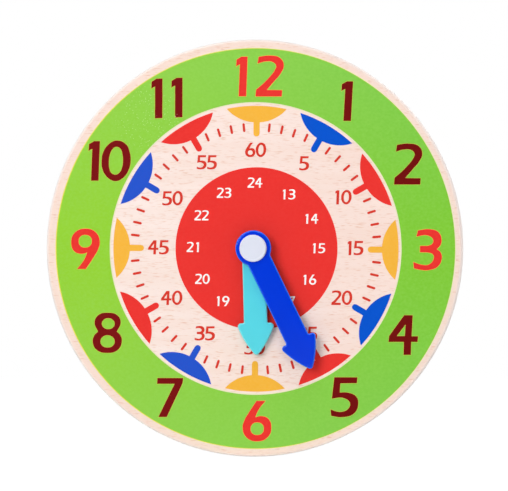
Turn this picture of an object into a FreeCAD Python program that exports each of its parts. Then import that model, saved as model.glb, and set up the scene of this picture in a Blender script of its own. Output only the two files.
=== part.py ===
import FreeCAD, Part
import math
import os
import re

import Sketcher

# Geared teaching clock: a round wooden dial board with two flat plastic hands and, in a moulded case
# behind the board, the 12:1 motion work that a knob in the case's back turns.
#
# The dial faces -Y, twelve o'clock is +Z and the hands turn about the Y axis. The case's back face is
# the plane y = 0. A depth is a distance from that plane towards the dial, so depth d lies at y = -d.
# Lengths are in millimetres and angles in degrees, clockwise from twelve o'clock.

# ------------------------------------------------------------------ driving dimensions

SIZES = (
    # dial board
    ("board_diameter", 200.0),
    ("board_thickness", 9.0),
    ("board_edge_bevel", 0.9),
    # hands: flat mouldings with bevelled edges and an arrow head
    ("hand_thickness", 2.4),
    ("hand_edge_bevel", 0.5),
    ("hand_corner_round", 1.6),
    ("hand_inner_round", 0.5),
    ("head_side_radius", 45.0),
    ("minute_hand_angle", 154.1),
    ("minute_hand_length", 64.7),
    ("minute_shank_width", 11.7),
    ("minute_head_width", 18.8),
    ("minute_head_length", 16.2),
    ("minute_hub_diameter", 17.2),
    ("hour_hand_angle", 178.5),
    ("hour_hand_length", 51.9),
    ("hour_shank_width", 11.3),
    ("hour_head_width", 18.6),
    ("hour_head_length", 16.1),
    ("hour_hub_diameter", 15.0),
    # centre cap
    ("cap_diameter", 13.0),
    ("cap_thickness", 1.5),
    ("cap_edge_bevel", 0.4),
    ("cap_grip", 1.0),
    # arbor and hour pipe
    ("arbor_diameter", 4.0),
    ("arbor_across_flats", 3.2),
    ("pin_bevel", 0.35),
    ("pipe_diameter", 7.0),
    ("pipe_across_flats", 6.2),
    # dial bush and washers
    ("bush_diameter", 10.5),
    ("bush_flange_diameter", 13.6),
    ("bush_flange_thickness", 0.8),
    ("bush_flange_bevel", 0.4),
    ("face_washer_diameter", 12.0),
    ("hand_spacer_diameter", 10.0),
    ("thrust_washer_diameter", 9.0),
    ("washer_thickness", 0.4),
    ("spring_diameter", 10.0),
    ("spring_height", 0.85),
    ("spring_metal", 0.3),
    # motion work
    ("gear_module", 0.8),
    ("pressure_angle", 20.0),
    ("tooth_backlash", 0.2),
    ("minute_wheel_width", 2.8),
    ("hour_wheel_width", 3.0),
    ("web_recess", 0.7),
    ("rim_width", 2.6),
    ("wheel_hub_diameter", 11.0),
    ("wheel_hole_diameter", 5.0),
    ("stud_diameter", 3.0),
    ("stud_seat", 1.6),
    # case
    ("wall", 1.8),
    ("cover_thickness", 2.4),
    ("base_thickness", 2.3),
    ("wheel_room", 3.4),
    ("case_corner_round", 7.0),
    ("cover_edge_bevel", 0.8),
    ("base_ring_height", 0.3),
    ("base_ring_width", 1.8),
    ("stud_boss_diameter", 7.0),
    ("post_diameter", 6.8),
    ("post_inset", 4.5),
    ("lip_width", 1.2),
    ("lip_height", 2.4),
    ("lip_side_length", 36.0),
    ("lip_end_length", 20.0),
    ("ear_width", 10.4),
    ("ear_reach", 5.4),
    ("ear_spacing", 45.0),
    ("ear_thickness", 3.0),
    ("ear_root_round", 0.8),
    ("hanger_hole_diameter", 7.0),
    ("hanger_tab_width", 16.0),
    ("hanger_tab_reach", 6.5),
    # setting knob and its well
    ("knob_diameter", 24.0),
    ("knob_thickness", 5.4),
    ("knob_inset", 0.6),
    ("knob_edge_bevel", 0.5),
    ("knob_flute_diameter", 4.4),
    ("knob_flute_depth", 1.1),
    ("knob_web", 1.0),
    ("well_diameter", 36.0),
    ("well_floor", 1.6),
    # fasteners
    ("cover_screw_head", 4.6),
    ("cover_screw_head_height", 1.3),
    ("cover_screw_shank", 2.4),
    ("cover_screw_grip", 8.0),
    ("wood_screw_head", 5.6),
    ("wood_screw_head_height", 2.0),
    ("wood_screw_shank", 2.8),
    ("wood_screw_grip", 6.5),
    ("knob_screw_head", 4.2),
    ("knob_screw_head_height", 1.2),
    ("knob_screw_shank", 2.0),
    ("knob_screw_grip", 5.0),
    ("screw_head_bevel", 0.4),
    ("cross_length", 2.8),
    ("cross_width", 0.7),
    ("cross_depth", 0.8),
    # clearances
    ("run_gap", 0.05),
    ("fit_gap", 0.05),
    ("end_gap", 0.1),
    ("hole_gap", 0.3),
    ("turn_gap", 0.4),
)

# Teeth and profile shift of the four toothed rims. 15 into 45 and 12 into 48 turn the hour wheel once
# for every twelve turns of the arbor, and both pairs stand at the same distance apart.
CANNON_TEETH, CANNON_SHIFT = 15, 0.2
MINUTE_TEETH, MINUTE_SHIFT = 45, -0.2
LEAF_TEETH, LEAF_SHIFT = 12, 0.3
HOUR_TEETH, HOUR_SHIFT = 48, -0.3
ADDENDUM = 1.0
DEDENDUM = 1.25
ROOT_ROUND = 0.25
WHEEL_HOLES = 6
KNOB_FLUTES = 14

doc = FreeCAD.newDocument("TeachingClock")
sheet = doc.addObject("Spreadsheet::Sheet", "Sizes")
for row, (alias, number) in enumerate(SIZES, start=1):
    sheet.set(f"A{row}", alias.replace("_", " "))
    sheet.set(f"B{row}", str(number))
    sheet.setAlias(f"B{row}", alias)
doc.recompute()

ALIASES = {alias for alias, number in SIZES}


def formula(text):
    """The same formula with each size's name turned into its cell's."""
    return re.sub(r"[a-z]\w*", lambda word: f"Sizes.{word[0]}" if word[0] in ALIASES else word[0], text)


def bind(thing, path, text):
    """Ties one property or constraint of a document object to a formula of the sizes."""
    thing.setExpression(path, formula(text))


def number_of(text):
    """What a formula of the sizes comes to now."""
    return float(sheet.evalExpression(formula(text)))


# ------------------------------------------------------------------ places that follow from the sizes


def tip_radius(teeth, shift):
    return f"(gear_module * {teeth / 2 + ADDENDUM + shift:g})"


# Depths of the faces that stack along the arbor, from the back of the case to the cap.
KNOB_FRONT = "(knob_inset + knob_thickness)"
FLOOR_BACK = f"({KNOB_FRONT} + turn_gap)"
FLOOR_FRONT = f"({FLOOR_BACK} + well_floor)"
SPRING_BACK = f"({FLOOR_FRONT} + end_gap)"
SPRING_FRONT = f"({SPRING_BACK} + spring_height)"
PINION_BACK = f"({SPRING_FRONT} + end_gap)"
PINION_FRONT = f"({PINION_BACK} + minute_wheel_width)"
THRUST_BACK = f"({PINION_FRONT} + end_gap)"
THRUST_FRONT = f"({THRUST_BACK} + washer_thickness)"
HOUR_WHEEL_BACK = f"({THRUST_FRONT} + end_gap)"
HOUR_WHEEL_FRONT = f"({HOUR_WHEEL_BACK} + hour_wheel_width)"
BASE_BACK = f"({HOUR_WHEEL_FRONT} + end_gap + base_ring_height)"
BOARD_BACK = f"({BASE_BACK} + base_thickness)"
BOARD_FRONT = f"({BOARD_BACK} + board_thickness)"
FLANGE_FRONT = f"({BOARD_FRONT} + bush_flange_thickness)"
FACE_WASHER_BACK = f"({FLANGE_FRONT} + end_gap)"
HOUR_HAND_BACK = f"({FACE_WASHER_BACK} + washer_thickness + end_gap)"
HOUR_HAND_FRONT = f"({HOUR_HAND_BACK} + hand_thickness)"
SPACER_BACK = f"({HOUR_HAND_FRONT} + end_gap)"
MINUTE_HAND_BACK = f"({SPACER_BACK} + washer_thickness + end_gap)"
MINUTE_HAND_FRONT = f"({MINUTE_HAND_BACK} + hand_thickness)"
CAP_BACK = f"({MINUTE_HAND_FRONT} + fit_gap)"
CAP_FRONT = f"({CAP_BACK} + cap_thickness)"
ARBOR_BACK = "(knob_inset + knob_screw_head_height + turn_gap + knob_web + fit_gap)"
ARBOR_FRONT = f"({CAP_BACK} + cap_grip)"
KNOB_SCREW_SEAT = f"({ARBOR_BACK} - knob_web - 2 * fit_gap)"

# The idler hangs below the arbor, and the case is as wide as the hour wheel needs.
STUD_DROP = f"(gear_module * {(CANNON_TEETH + MINUTE_TEETH) / 2:g})"
CASE_HALF_WIDTH = f"({tip_radius(HOUR_TEETH, HOUR_SHIFT)} + wheel_room + wall)"
CASE_TOP = CASE_HALF_WIDTH
CASE_BOTTOM = f"(-{STUD_DROP} - {CASE_HALF_WIDTH})"
CASE_MIDDLE = f"(-{STUD_DROP} / 2)"
CASE_BACK = "(cover_thickness + fit_gap)"
ARBOR_BORE = "(arbor_diameter / 2 + run_gap)"
POSTS = [
    (f"({side} * ({CASE_HALF_WIDTH} - post_inset))", height)
    for side in (-1, 1)
    for height in (f"({CASE_TOP} - post_inset)", f"({CASE_BOTTOM} + post_inset)")
]
EARS = [
    (side, f"({CASE_MIDDLE} + {end} * ear_spacing / 2)") for side in (-1, 1) for end in (-1, 1)
]


# ------------------------------------------------------------------ sketches and features


def sketch_on(body, name, role, offset="0"):
    """A sketch on one of the body's own origin planes, moved along the plane's normal."""
    sketch = body.newObject("Sketcher::SketchObject", f"{body.Name}_{name}")
    plane = next(part for part in body.Origin.OriginFeatures if part.Role == role)
    sketch.AttachmentSupport = [(plane, "")]
    sketch.MapMode = "FlatFace"
    bind(sketch, "AttachmentOffset.Base.z", offset)
    return sketch


def facing(body, name, depth):
    """A sketch across the arbor at a depth: its X is the part's X, its Y the part's Z."""
    return sketch_on(body, name, "XZ_Plane", depth)


def pin_point(sketch, geometry, point, x, y):
    """Holds a point of the sketch at a place given by two formulas."""
    for kind, text in (("DistanceX", x), ("DistanceY", y)):
        rule = Sketcher.Constraint(kind, -1, 1, geometry, point, number_of(text))
        bind(sketch, f"Constraints[{sketch.addConstraint(rule)}]", text)


def add_circle(sketch, radius, x="0", y="0"):
    centre = FreeCAD.Vector(number_of(x), number_of(y), 0)
    circle = sketch.addGeometry(Part.Circle(centre, FreeCAD.Vector(0, 0, 1), number_of(radius)))
    rule = sketch.addConstraint(Sketcher.Constraint("Radius", circle, number_of(radius)))
    bind(sketch, f"Constraints[{rule}]", radius)
    pin_point(sketch, circle, 3, x, y)


def add_outline(sketch, corners):
    """A closed outline, anticlockwise. A corner is (x, y), or (x, y, radius) where an arc that bulges
    outwards leads to the next corner, or (x, y, radius, -1) where that arc is hollow."""
    ends = []
    spots = [FreeCAD.Vector(number_of(corner[0]), number_of(corner[1]), 0) for corner in corners]
    for here, there, corner in zip(spots, spots[1:] + spots[:1], corners):
        if len(corner) == 2:
            line = sketch.addGeometry(Part.LineSegment(here, there))
            ends.append(((line, 1), (line, 2)))
            continue
        side = corner[3] if len(corner) == 4 else 1
        radius = number_of(corner[2])
        chord = there - here
        rise = radius - math.sqrt(max(radius**2 - (chord.Length / 2) ** 2, 0))
        outwards = FreeCAD.Vector(chord.y, -chord.x, 0).normalize() * side
        middle = (here + there) / 2 + outwards * rise
        points = (here, middle, there) if side > 0 else (there, middle, here)
        arc = sketch.addGeometry(Part.Arc(*points))
        rule = sketch.addConstraint(Sketcher.Constraint("Radius", arc, radius))
        bind(sketch, f"Constraints[{rule}]", corner[2])
        ends.append(((arc, 1), (arc, 2)) if side > 0 else ((arc, 2), (arc, 1)))
    for (start, finish), (following, last), corner in zip(ends, ends[1:] + ends[:1], corners):
        sketch.addConstraint(Sketcher.Constraint("Coincident", *finish, *following))
        pin_point(sketch, *start, corner[0], corner[1])


def add_box(sketch, left, right, low, high):
    add_outline(sketch, [(left, low), (right, low), (right, high), (left, high)])


def add_round_box(sketch, left, right, low, high, radius):
    """A rectangle with round corners."""
    add_outline(
        sketch,
        [
            (f"{left} + {radius}", low),
            (f"{right} - {radius}", low, radius),
            (right, f"{low} + {radius}"),
            (right, f"{high} - {radius}", radius),
            (f"{right} - {radius}", high),
            (f"{left} + {radius}", high, radius),
            (left, f"{high} - {radius}"),
            (left, f"{low} + {radius}", radius),
        ],
    )


def add_double_d(sketch, diameter, across_flats, gap="0"):
    """A circle with two flats, one on each side: the arbor's section, or the hole that fits it."""
    flat = f"({across_flats} / 2 + {gap})"
    radius = f"({diameter} / 2 + {gap})"
    rise = f"sqrt({radius} ^ 2 - {flat} ^ 2)"
    add_outline(
        sketch,
        [(flat, f"-{rise}"), (flat, rise, radius), (f"-{flat}", rise), (f"-{flat}", f"-{rise}", radius)],
    )


def pad(body, sketch, thickness):
    feature = body.newObject("PartDesign::Pad", f"{sketch.Name}_pad")
    feature.Profile = sketch
    bind(feature, "Length", thickness)
    return feature


def pocket(body, sketch, depth):
    """Cuts from the sketch towards the dial, and makes sure that something was cut."""
    doc.recompute()
    before = body.Shape.Volume
    feature = body.newObject("PartDesign::Pocket", f"{sketch.Name}_pocket")
    feature.Profile = sketch
    feature.Reversed = True
    bind(feature, "Length", depth)
    doc.recompute()
    if body.Shape.Volume >= before:
        raise RuntimeError(f"{feature.Name} cuts nothing")
    return feature


def revolve(body, sketch):
    feature = body.newObject("PartDesign::Revolution", f"{sketch.Name}_turned")
    feature.Profile = sketch
    feature.ReferenceAxis = (sketch, ["V_Axis"])
    feature.Angle = 360
    return feature


def dress_edges(body, kind, name, wanted):
    """A Fillet or Chamfer on those edges of the body for which wanted(edge) is true."""
    doc.recompute()
    base = body.Tip
    names = [f"Edge{i}" for i, edge in enumerate(base.Shape.Edges, start=1) if wanted(edge)]
    feature = body.newObject(f"PartDesign::{kind}", f"{body.Name}_{name}")
    feature.Base = (base, names)
    return feature


def round_edges(body, name, radius, wanted):
    bind(dress_edges(body, "Fillet", name, wanted), "Radius", radius)


def bevel_edges(body, name, size, wanted):
    bind(dress_edges(body, "Chamfer", name, wanted), "Size", size)


def new_body(name):
    body = doc.addObject("PartDesign::Body", name)
    body.Label = name
    return body


def turned(name, profile):
    """A piece turned about the Y axis. The profile's corners are (radius, depth), and go from the
    piece's front end outwards and back, as add_outline takes them."""
    body = new_body(name)
    sketch = sketch_on(body, "profile", "XY_Plane")
    add_outline(sketch, [(corner[0], f"-{corner[1]}", *corner[2:]) for corner in profile])
    revolve(body, sketch)
    return body


def turn_to(body, angle):
    """Turns a piece about the Y axis, clockwise as the dial is read."""
    body.Placement.Rotation = FreeCAD.Rotation(FreeCAD.Vector(0, 1, 0), 0)
    bind(body, "Placement.Rotation.Angle", angle)


def at_depth(edge, depth):
    """Whether an edge lies in the plane across the arbor at that depth."""
    spread = edge.BoundBox
    return max(abs(spread.YMin + depth), abs(spread.YMax + depth)) < 1e-4


def is_round_rim(edge):
    """Whether an edge of a plain disc is one of its two rims, and not its seam."""
    return isinstance(edge.Curve, Part.Circle)


def along_arbor_at(edge, spots):
    """Whether an edge runs along Y through one of the (x, z) spots."""
    spread = edge.BoundBox
    if spread.XLength + spread.ZLength > 1e-4:
        return False
    return any(math.hypot(spread.XMin - x, spread.ZMin - z) < 1e-3 for x, z in spots)


# ------------------------------------------------------------------ board


def make_dial_board():
    body = new_body("dial_board")
    disc = facing(body, "disc", BOARD_BACK)
    add_circle(disc, "board_diameter / 2")
    pad(body, disc, "board_thickness")
    bevel_edges(body, "edge_bevels", "board_edge_bevel", is_round_rim)
    bore = facing(body, "bore", BOARD_BACK)
    add_circle(bore, "bush_diameter / 2 + fit_gap")
    pocket(body, bore, "board_thickness")
    pilots = facing(body, "pilot_holes", BOARD_BACK)
    for side, height in EARS:
        add_circle(pilots, "wood_screw_shank / 2 + fit_gap", ear_x(side), height)
    pocket(body, pilots, "wood_screw_grip + hole_gap")
    return body


def ear_x(side):
    return f"({side} * ({CASE_HALF_WIDTH} + ear_reach))"


# ------------------------------------------------------------------ hands and cap


def make_hand(name, kind, back, bore, bore_flats):
    """A flat arrow, drawn pointing at twelve and turned to its rest angle."""
    body = new_body(name)
    shank, half_head = f"({kind}_shank_width / 2)", f"({kind}_head_width / 2)"
    hub = f"({kind}_hub_diameter / 2)"
    tip = f"{kind}_hand_length"
    barb = f"({tip} - {kind}_head_length)"
    neck = f"sqrt({hub} ^ 2 - {shank} ^ 2)"
    blade = facing(body, "blade", back)
    add_outline(
        blade,
        [
            (shank, neck),
            (shank, barb),
            (half_head, barb, "head_side_radius"),
            ("0", tip, "head_side_radius"),
            (f"-{half_head}", barb),
            (f"-{shank}", barb),
            (f"-{shank}", neck, hub),
            ("0", f"-{hub}", hub),
        ],
    )
    pad(body, blade, "hand_thickness")
    sharp = [
        (side * number_of(x), number_of(z))
        for side in (-1, 1)
        for x, z in ((half_head, barb), ("0", tip))
    ]
    round_edges(body, "corner_rounds", "hand_corner_round", lambda edge: along_arbor_at(edge, sharp))
    inner = [(side * number_of(shank), number_of(z)) for side in (-1, 1) for z in (barb, neck)]
    round_edges(body, "inner_rounds", "hand_inner_round", lambda edge: along_arbor_at(edge, inner))
    front = number_of(back) + number_of("hand_thickness")
    bevel_edges(body, "face_bevels", "hand_edge_bevel", lambda edge: at_depth(edge, front))
    key = facing(body, "key", back)
    add_double_d(key, bore, bore_flats, "fit_gap")
    pocket(body, key, "hand_thickness")
    turn_to(body, f"{kind}_hand_angle")
    return body


def make_centre_cap():
    rim = "(cap_diameter / 2)"
    bore = "(arbor_diameter / 2 + fit_gap)"
    bore_end = f"({ARBOR_FRONT} + fit_gap)"
    return turned(
        "centre_cap",
        [
            ("0", CAP_FRONT),
            (f"({rim} - cap_edge_bevel)", CAP_FRONT),
            (rim, f"({CAP_FRONT} - cap_edge_bevel)"),
            (rim, CAP_BACK),
            (bore, CAP_BACK),
            (bore, bore_end),
            ("0", bore_end),
        ],
    )


# ------------------------------------------------------------------ turned pieces on the arbor's axis


def make_minute_arbor():
    """The arbor: flats at the back for the knob and the cannon pinion, a round journal that runs in the
    hour pipe, flats at the front for the minute hand, and a tapped hole for the knob's screw."""
    radius = "(arbor_diameter / 2)"
    tapping = "(knob_screw_shank / 2 + fit_gap)"
    hole_end = f"({ARBOR_BACK} + knob_screw_grip)"
    body = turned(
        "minute_arbor",
        [
            ("0", ARBOR_FRONT),
            (f"({radius} - pin_bevel)", ARBOR_FRONT),
            (radius, f"({ARBOR_FRONT} - pin_bevel)"),
            (radius, ARBOR_BACK),
            (tapping, ARBOR_BACK),
            (tapping, hole_end),
            ("0", f"({hole_end} + {tapping})"),
        ],
    )
    for name, start, end in (
        ("back_flats", ARBOR_BACK, PINION_FRONT),
        ("front_flats", MINUTE_HAND_BACK, ARBOR_FRONT),
    ):
        flats = facing(body, name, start)
        for side in (-1, 1):
            near, far = f"{side} * arbor_across_flats / 2", f"{side} * arbor_diameter"
            left, right = (near, far) if side > 0 else (far, near)
            add_box(flats, left, right, "-arbor_diameter", "arbor_diameter")
        pocket(body, flats, f"{end} - {start}")
    turn_to(body, "minute_hand_angle")
    return body


def ring_profile(inner, outer, back, front):
    return [(inner, front), (outer, front), (outer, back), (inner, back)]


def make_washer(name, back, inner, diameter):
    return turned(name, ring_profile(inner, f"({diameter} / 2)", back, f"({back} + washer_thickness)"))


def make_spring_washer():
    """A dished washer, pressed flat enough to hold the arbor where it is set."""
    rim = "(spring_diameter / 2)"
    inner = "(arbor_diameter / 2 + run_gap)"
    dish = "(spring_height - spring_metal)"
    return turned(
        "spring_washer",
        [
            (inner, SPRING_FRONT),
            (rim, f"({SPRING_FRONT} - {dish})"),
            (rim, SPRING_BACK),
            (inner, f"({SPRING_BACK} + {dish})"),
        ],
    )


def make_dial_bush():
    bore = "(pipe_diameter / 2 + run_gap)"
    barrel = "(bush_diameter / 2)"
    flange = "(bush_flange_diameter / 2)"
    seat = f"({BOARD_FRONT} + fit_gap)"
    return turned(
        "dial_bush",
        [
            (bore, FLANGE_FRONT),
            (f"({flange} - bush_flange_bevel)", FLANGE_FRONT),
            (flange, f"({FLANGE_FRONT} - bush_flange_bevel)"),
            (flange, seat),
            (barrel, seat),
            (barrel, f"({BOARD_BACK} + fit_gap)"),
            (bore, f"({BOARD_BACK} + fit_gap)"),
        ],
    )


def make_idler_stud():
    """The pin that the minute wheel turns on, held in blind holes in the cover and the case."""
    radius = "(stud_diameter / 2)"
    front, back = f"({BASE_BACK} + stud_seat - fit_gap)", "(cover_thickness + fit_gap)"
    body = turned(
        "idler_stud",
        [
            ("0", front),
            (f"({radius} - pin_bevel)", front),
            (radius, f"({front} - pin_bevel)"),
            (radius, f"({back} + pin_bevel)"),
            (f"({radius} - pin_bevel)", back),
            ("0", back),
        ],
    )
    bind(body, "Placement.Base.z", f"-{STUD_DROP}")
    return body


# ------------------------------------------------------------------ toothed wheels


def involute(angle):
    return math.tan(angle) - angle


def polar(radius, angle):
    return FreeCAD.Vector(radius * math.cos(angle), 0, radius * math.sin(angle))


def tooth_outline(teeth, shift, first_tooth):
    """The closed outline of a spur wheel in the plane y = 0, with a tooth centred on the direction
    first_tooth, in degrees from +X towards +Z. Each flank is the arc through three points of its
    involute, thinned for backlash."""
    module = number_of("gear_module")
    pressure = math.radians(number_of("pressure_angle"))
    pitch = module * teeth / 2
    base = pitch * math.cos(pressure)
    tip = pitch + module * (ADDENDUM + shift)
    root = pitch - module * (DEDENDUM - shift)
    root_round = root + module * ROOT_ROUND
    flank_start = max(base, root_round)
    thickness = module * (math.pi / 2 + 2 * shift * math.tan(pressure)) - number_of("tooth_backlash") / 2

    def half_angle(radius):
        return thickness / (2 * pitch) + involute(pressure) - involute(math.acos(min(base / radius, 1)))

    radii = (flank_start, (flank_start + tip) / 2, tip)
    step_angle = 2 * math.pi / teeth
    edges = []
    for tooth in range(teeth):
        middle = math.radians(first_tooth) + tooth * step_angle
        rising = [polar(radius, middle - half_angle(radius)) for radius in radii]
        falling = [polar(radius, middle + half_angle(radius)) for radius in reversed(radii)]
        edges.append(Part.Arc(*rising).toShape())
        edges.append(Part.Arc(rising[-1], polar(tip, middle), falling[0]).toShape())
        edges.append(Part.Arc(*falling).toShape())
        foot = half_angle(flank_start)
        next_foot = polar(flank_start, middle + step_angle - foot)
        valley_start, valley_end = falling[-1], next_foot
        if base > root_round:
            valley_start = polar(root_round, middle + foot)
            valley_end = polar(root_round, middle + step_angle - foot)
            edges.append(Part.LineSegment(falling[-1], valley_start).toShape())
            edges.append(Part.LineSegment(valley_end, next_foot).toShape())
        valley = Part.Arc(valley_start, polar(root, middle + step_angle / 2), valley_end)
        edges.append(valley.toShape())
    return Part.Wire(Part.__sortEdges__(edges))


def toothed_rim(name, teeth, shift, first_tooth, back, width):
    """A full disc with teeth, from a depth forwards."""
    outline = doc.addObject("Part::Feature", f"{name}_outline")
    outline.Shape = Part.Face(tooth_outline(teeth, shift, first_tooth))
    bind(outline, "Placement.Base.y", f"-{back}")
    rim = doc.addObject("Part::Extrusion", f"{name}_rim")
    rim.Base = outline
    rim.Dir = FreeCAD.Vector(0, -1, 0)
    rim.Solid = True
    bind(rim, "LengthFwd", width)
    return rim


def cylinder(name, radius, back, length):
    """A round bar along the arbor's direction, from a depth forwards."""
    bar = doc.addObject("Part::Cylinder", name)
    bar.Placement.Rotation = FreeCAD.Rotation(FreeCAD.Vector(1, 0, 0), 90)
    bind(bar, "Radius", radius)
    bind(bar, "Height", length)
    bind(bar, "Placement.Base.y", f"-{back}")
    return bar


def in_one(name, blanks):
    fused = doc.addObject("Part::MultiFuse", f"{name}_blank")
    fused.Shapes = blanks
    return fused


def moulded_wheel(name, blank):
    """A body that starts from a toothed blank."""
    doc.recompute()
    body = new_body(name)
    body.BaseFeature = blank
    doc.recompute()
    return body


def lighten(body, back, hub, rim, width):
    """Sinks a ring into the wheel's back face and cuts a circle of round holes through its web."""
    ring = facing(body, "web", back)
    add_circle(ring, rim)
    add_circle(ring, hub)
    pocket(body, ring, "web_recess")
    holes = facing(body, "hole", back)
    add_circle(holes, "wheel_hole_diameter / 2", "0", f"({hub} + {rim}) / 2")
    first = pocket(body, holes, width)
    ring_of_holes = body.newObject("PartDesign::PolarPattern", f"{body.Name}_holes")
    ring_of_holes.Originals = [first]
    ring_of_holes.Axis = (holes, ["N_Axis"])
    ring_of_holes.Angle = 360
    ring_of_holes.Occurrences = WHEEL_HOLES
    body.Tip = ring_of_holes


def make_cannon_pinion():
    """Keyed on the arbor. One of its teeth points straight down at the minute wheel."""
    rim = toothed_rim("cannon", CANNON_TEETH, CANNON_SHIFT, -90, PINION_BACK, "minute_wheel_width")
    body = moulded_wheel("cannon_pinion", rim)
    key = facing(body, "key", PINION_BACK)
    key.AttachmentOffset.Rotation = FreeCAD.Rotation(FreeCAD.Vector(0, 0, 1), 0)
    bind(key, "AttachmentOffset.Rotation.Angle", "0 - minute_hand_angle")
    add_double_d(key, "arbor_diameter", "arbor_across_flats", "fit_gap")
    pocket(body, key, "minute_wheel_width")
    return body


def make_minute_wheel():
    """The 45-tooth wheel and its 12-leaf pinion in one moulding. At the mesh with the cannon pinion
    it has a space, and at the mesh with the hour wheel a leaf."""
    half_pitch = 180 / MINUTE_TEETH
    width = "minute_wheel_width"
    leaf_length = f"({HOUR_WHEEL_FRONT} - {PINION_FRONT})"
    rim = toothed_rim("minute", MINUTE_TEETH, MINUTE_SHIFT, 90 + half_pitch, PINION_BACK, width)
    leaves = toothed_rim("leaf", LEAF_TEETH, LEAF_SHIFT, 90, PINION_FRONT, leaf_length)
    body = moulded_wheel("minute_wheel", in_one("minute", [rim, leaves]))
    root = f"(gear_module * {MINUTE_TEETH / 2 - DEDENDUM + MINUTE_SHIFT:g})"
    lighten(body, PINION_BACK, "(wheel_hub_diameter / 2)", f"({root} - rim_width)", width)
    bore = facing(body, "bore", PINION_BACK)
    add_circle(bore, "stud_diameter / 2 + run_gap")
    pocket(body, bore, f"{width} + {leaf_length}")
    bind(body, "Placement.Base.z", f"-{STUD_DROP}")
    return body


def make_hour_wheel():
    """The 48-tooth wheel and the hour pipe in one moulding, with a space at the mesh below it."""
    half_pitch = 180 / HOUR_TEETH
    width = "hour_wheel_width"
    pipe_end = f"({HOUR_HAND_FRONT} - fit_gap)"
    length = f"{pipe_end} - {HOUR_WHEEL_BACK}"
    rim = toothed_rim("hour", HOUR_TEETH, HOUR_SHIFT, -90 + half_pitch, HOUR_WHEEL_BACK, width)
    pipe = cylinder("hour_pipe", "pipe_diameter / 2", HOUR_WHEEL_BACK, length)
    body = moulded_wheel("hour_wheel", in_one("hour", [rim, pipe]))
    root = f"(gear_module * {HOUR_TEETH / 2 - DEDENDUM + HOUR_SHIFT:g})"
    lighten(body, HOUR_WHEEL_BACK, "(wheel_hub_diameter / 2)", f"({root} - rim_width)", width)
    bore = facing(body, "bore", HOUR_WHEEL_BACK)
    add_circle(bore, ARBOR_BORE)
    pocket(body, bore, length)
    flats = facing(body, "flats", HOUR_HAND_BACK)
    flats.AttachmentOffset.Rotation = FreeCAD.Rotation(FreeCAD.Vector(0, 0, 1), 0)
    bind(flats, "AttachmentOffset.Rotation.Angle", "0 - hour_hand_angle")
    for side in (-1, 1):
        near, far = f"{side} * pipe_across_flats / 2", f"{side} * pipe_diameter"
        left, right = (near, far) if side > 0 else (far, near)
        add_box(flats, left, right, "-pipe_diameter", "pipe_diameter")
    pocket(body, flats, "hand_thickness")
    return body


# ------------------------------------------------------------------ case


def add_case_outline(sketch, inset="0"):
    """The case's outline, or the same outline moved inwards."""
    add_round_box(
        sketch,
        f"(-{CASE_HALF_WIDTH} + {inset})",
        f"({CASE_HALF_WIDTH} - {inset})",
        f"({CASE_BOTTOM} + {inset})",
        f"({CASE_TOP} - {inset})",
        f"(case_corner_round - {inset})",
    )


def make_gear_housing():
    """The tray that holds the wheels, open at the back and screwed to the board by four ears."""
    body = new_body("gear_housing")
    base = facing(body, "base", BASE_BACK)
    add_case_outline(base)
    pad(body, base, "base_thickness")

    walls = facing(body, "walls", CASE_BACK)
    add_case_outline(walls)
    add_case_outline(walls, "wall")
    pad(body, walls, f"{BOARD_BACK} - {CASE_BACK}")

    posts = facing(body, "posts", CASE_BACK)
    for x, z in POSTS:
        add_circle(posts, "post_diameter / 2", x, z)
    pad(body, posts, f"{BOARD_BACK} - {CASE_BACK}")

    ears = facing(body, "ears", f"{BOARD_BACK} - ear_thickness")
    for side, height in EARS:
        add_ear(ears, side, height)
    pad(body, ears, "ear_thickness")

    rings = facing(body, "rings", f"{BASE_BACK} - base_ring_height")
    pipe_hole = "(pipe_diameter / 2 + hole_gap)"
    add_circle(rings, f"{pipe_hole} + base_ring_width")
    add_circle(rings, "stud_boss_diameter / 2", "0", f"-{STUD_DROP}")
    pad(body, rings, "base_ring_height + base_thickness / 2")

    round_edges(body, "ear_roots", "ear_root_round", is_ear_root)

    pipe = facing(body, "pipe_hole", f"{BASE_BACK} - base_ring_height")
    add_circle(pipe, pipe_hole)
    pocket(body, pipe, "base_ring_height + base_thickness")
    stud = facing(body, "stud_hole", f"{BASE_BACK} - base_ring_height")
    add_circle(stud, "stud_diameter / 2 + fit_gap", "0", f"-{STUD_DROP}")
    pocket(body, stud, "base_ring_height + stud_seat")
    pilots = facing(body, "pilot_holes", CASE_BACK)
    for x, z in POSTS:
        add_circle(pilots, "cover_screw_shank / 2 + fit_gap", x, z)
    pocket(body, pilots, "cover_screw_grip + hole_gap")
    holes = facing(body, "ear_holes", f"{BOARD_BACK} - ear_thickness")
    for side, height in EARS:
        add_circle(holes, "wood_screw_shank / 2 + hole_gap", ear_x(side), height)
    pocket(body, holes, "ear_thickness")
    return body


def add_ear(sketch, side, height):
    """One screw ear: a tongue with a round end, rooted in the case's wall."""
    root = f"({side} * ({CASE_HALF_WIDTH} - wall / 2))"
    middle = ear_x(side)
    end = f"({middle} + {side} * ear_width / 2)"
    low, high = f"({height} - ear_width / 2)", f"({height} + ear_width / 2)"
    radius = "ear_width / 2"
    if side > 0:
        corners = [(root, low), (middle, low, radius), (end, height, radius), (middle, high), (root, high)]
    else:
        corners = [(root, high), (middle, high, radius), (end, height, radius), (middle, low), (root, low)]
    add_outline(sketch, corners)


def is_ear_root(edge):
    """Whether an edge is one of the upright inner corners between an ear and the case's wall."""
    spots = [
        (side * number_of(CASE_HALF_WIDTH), number_of(f"{height} + {end} * ear_width / 2"))
        for side, height in EARS
        for end in (-1, 1)
    ]
    return along_arbor_at(edge, spots)


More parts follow.
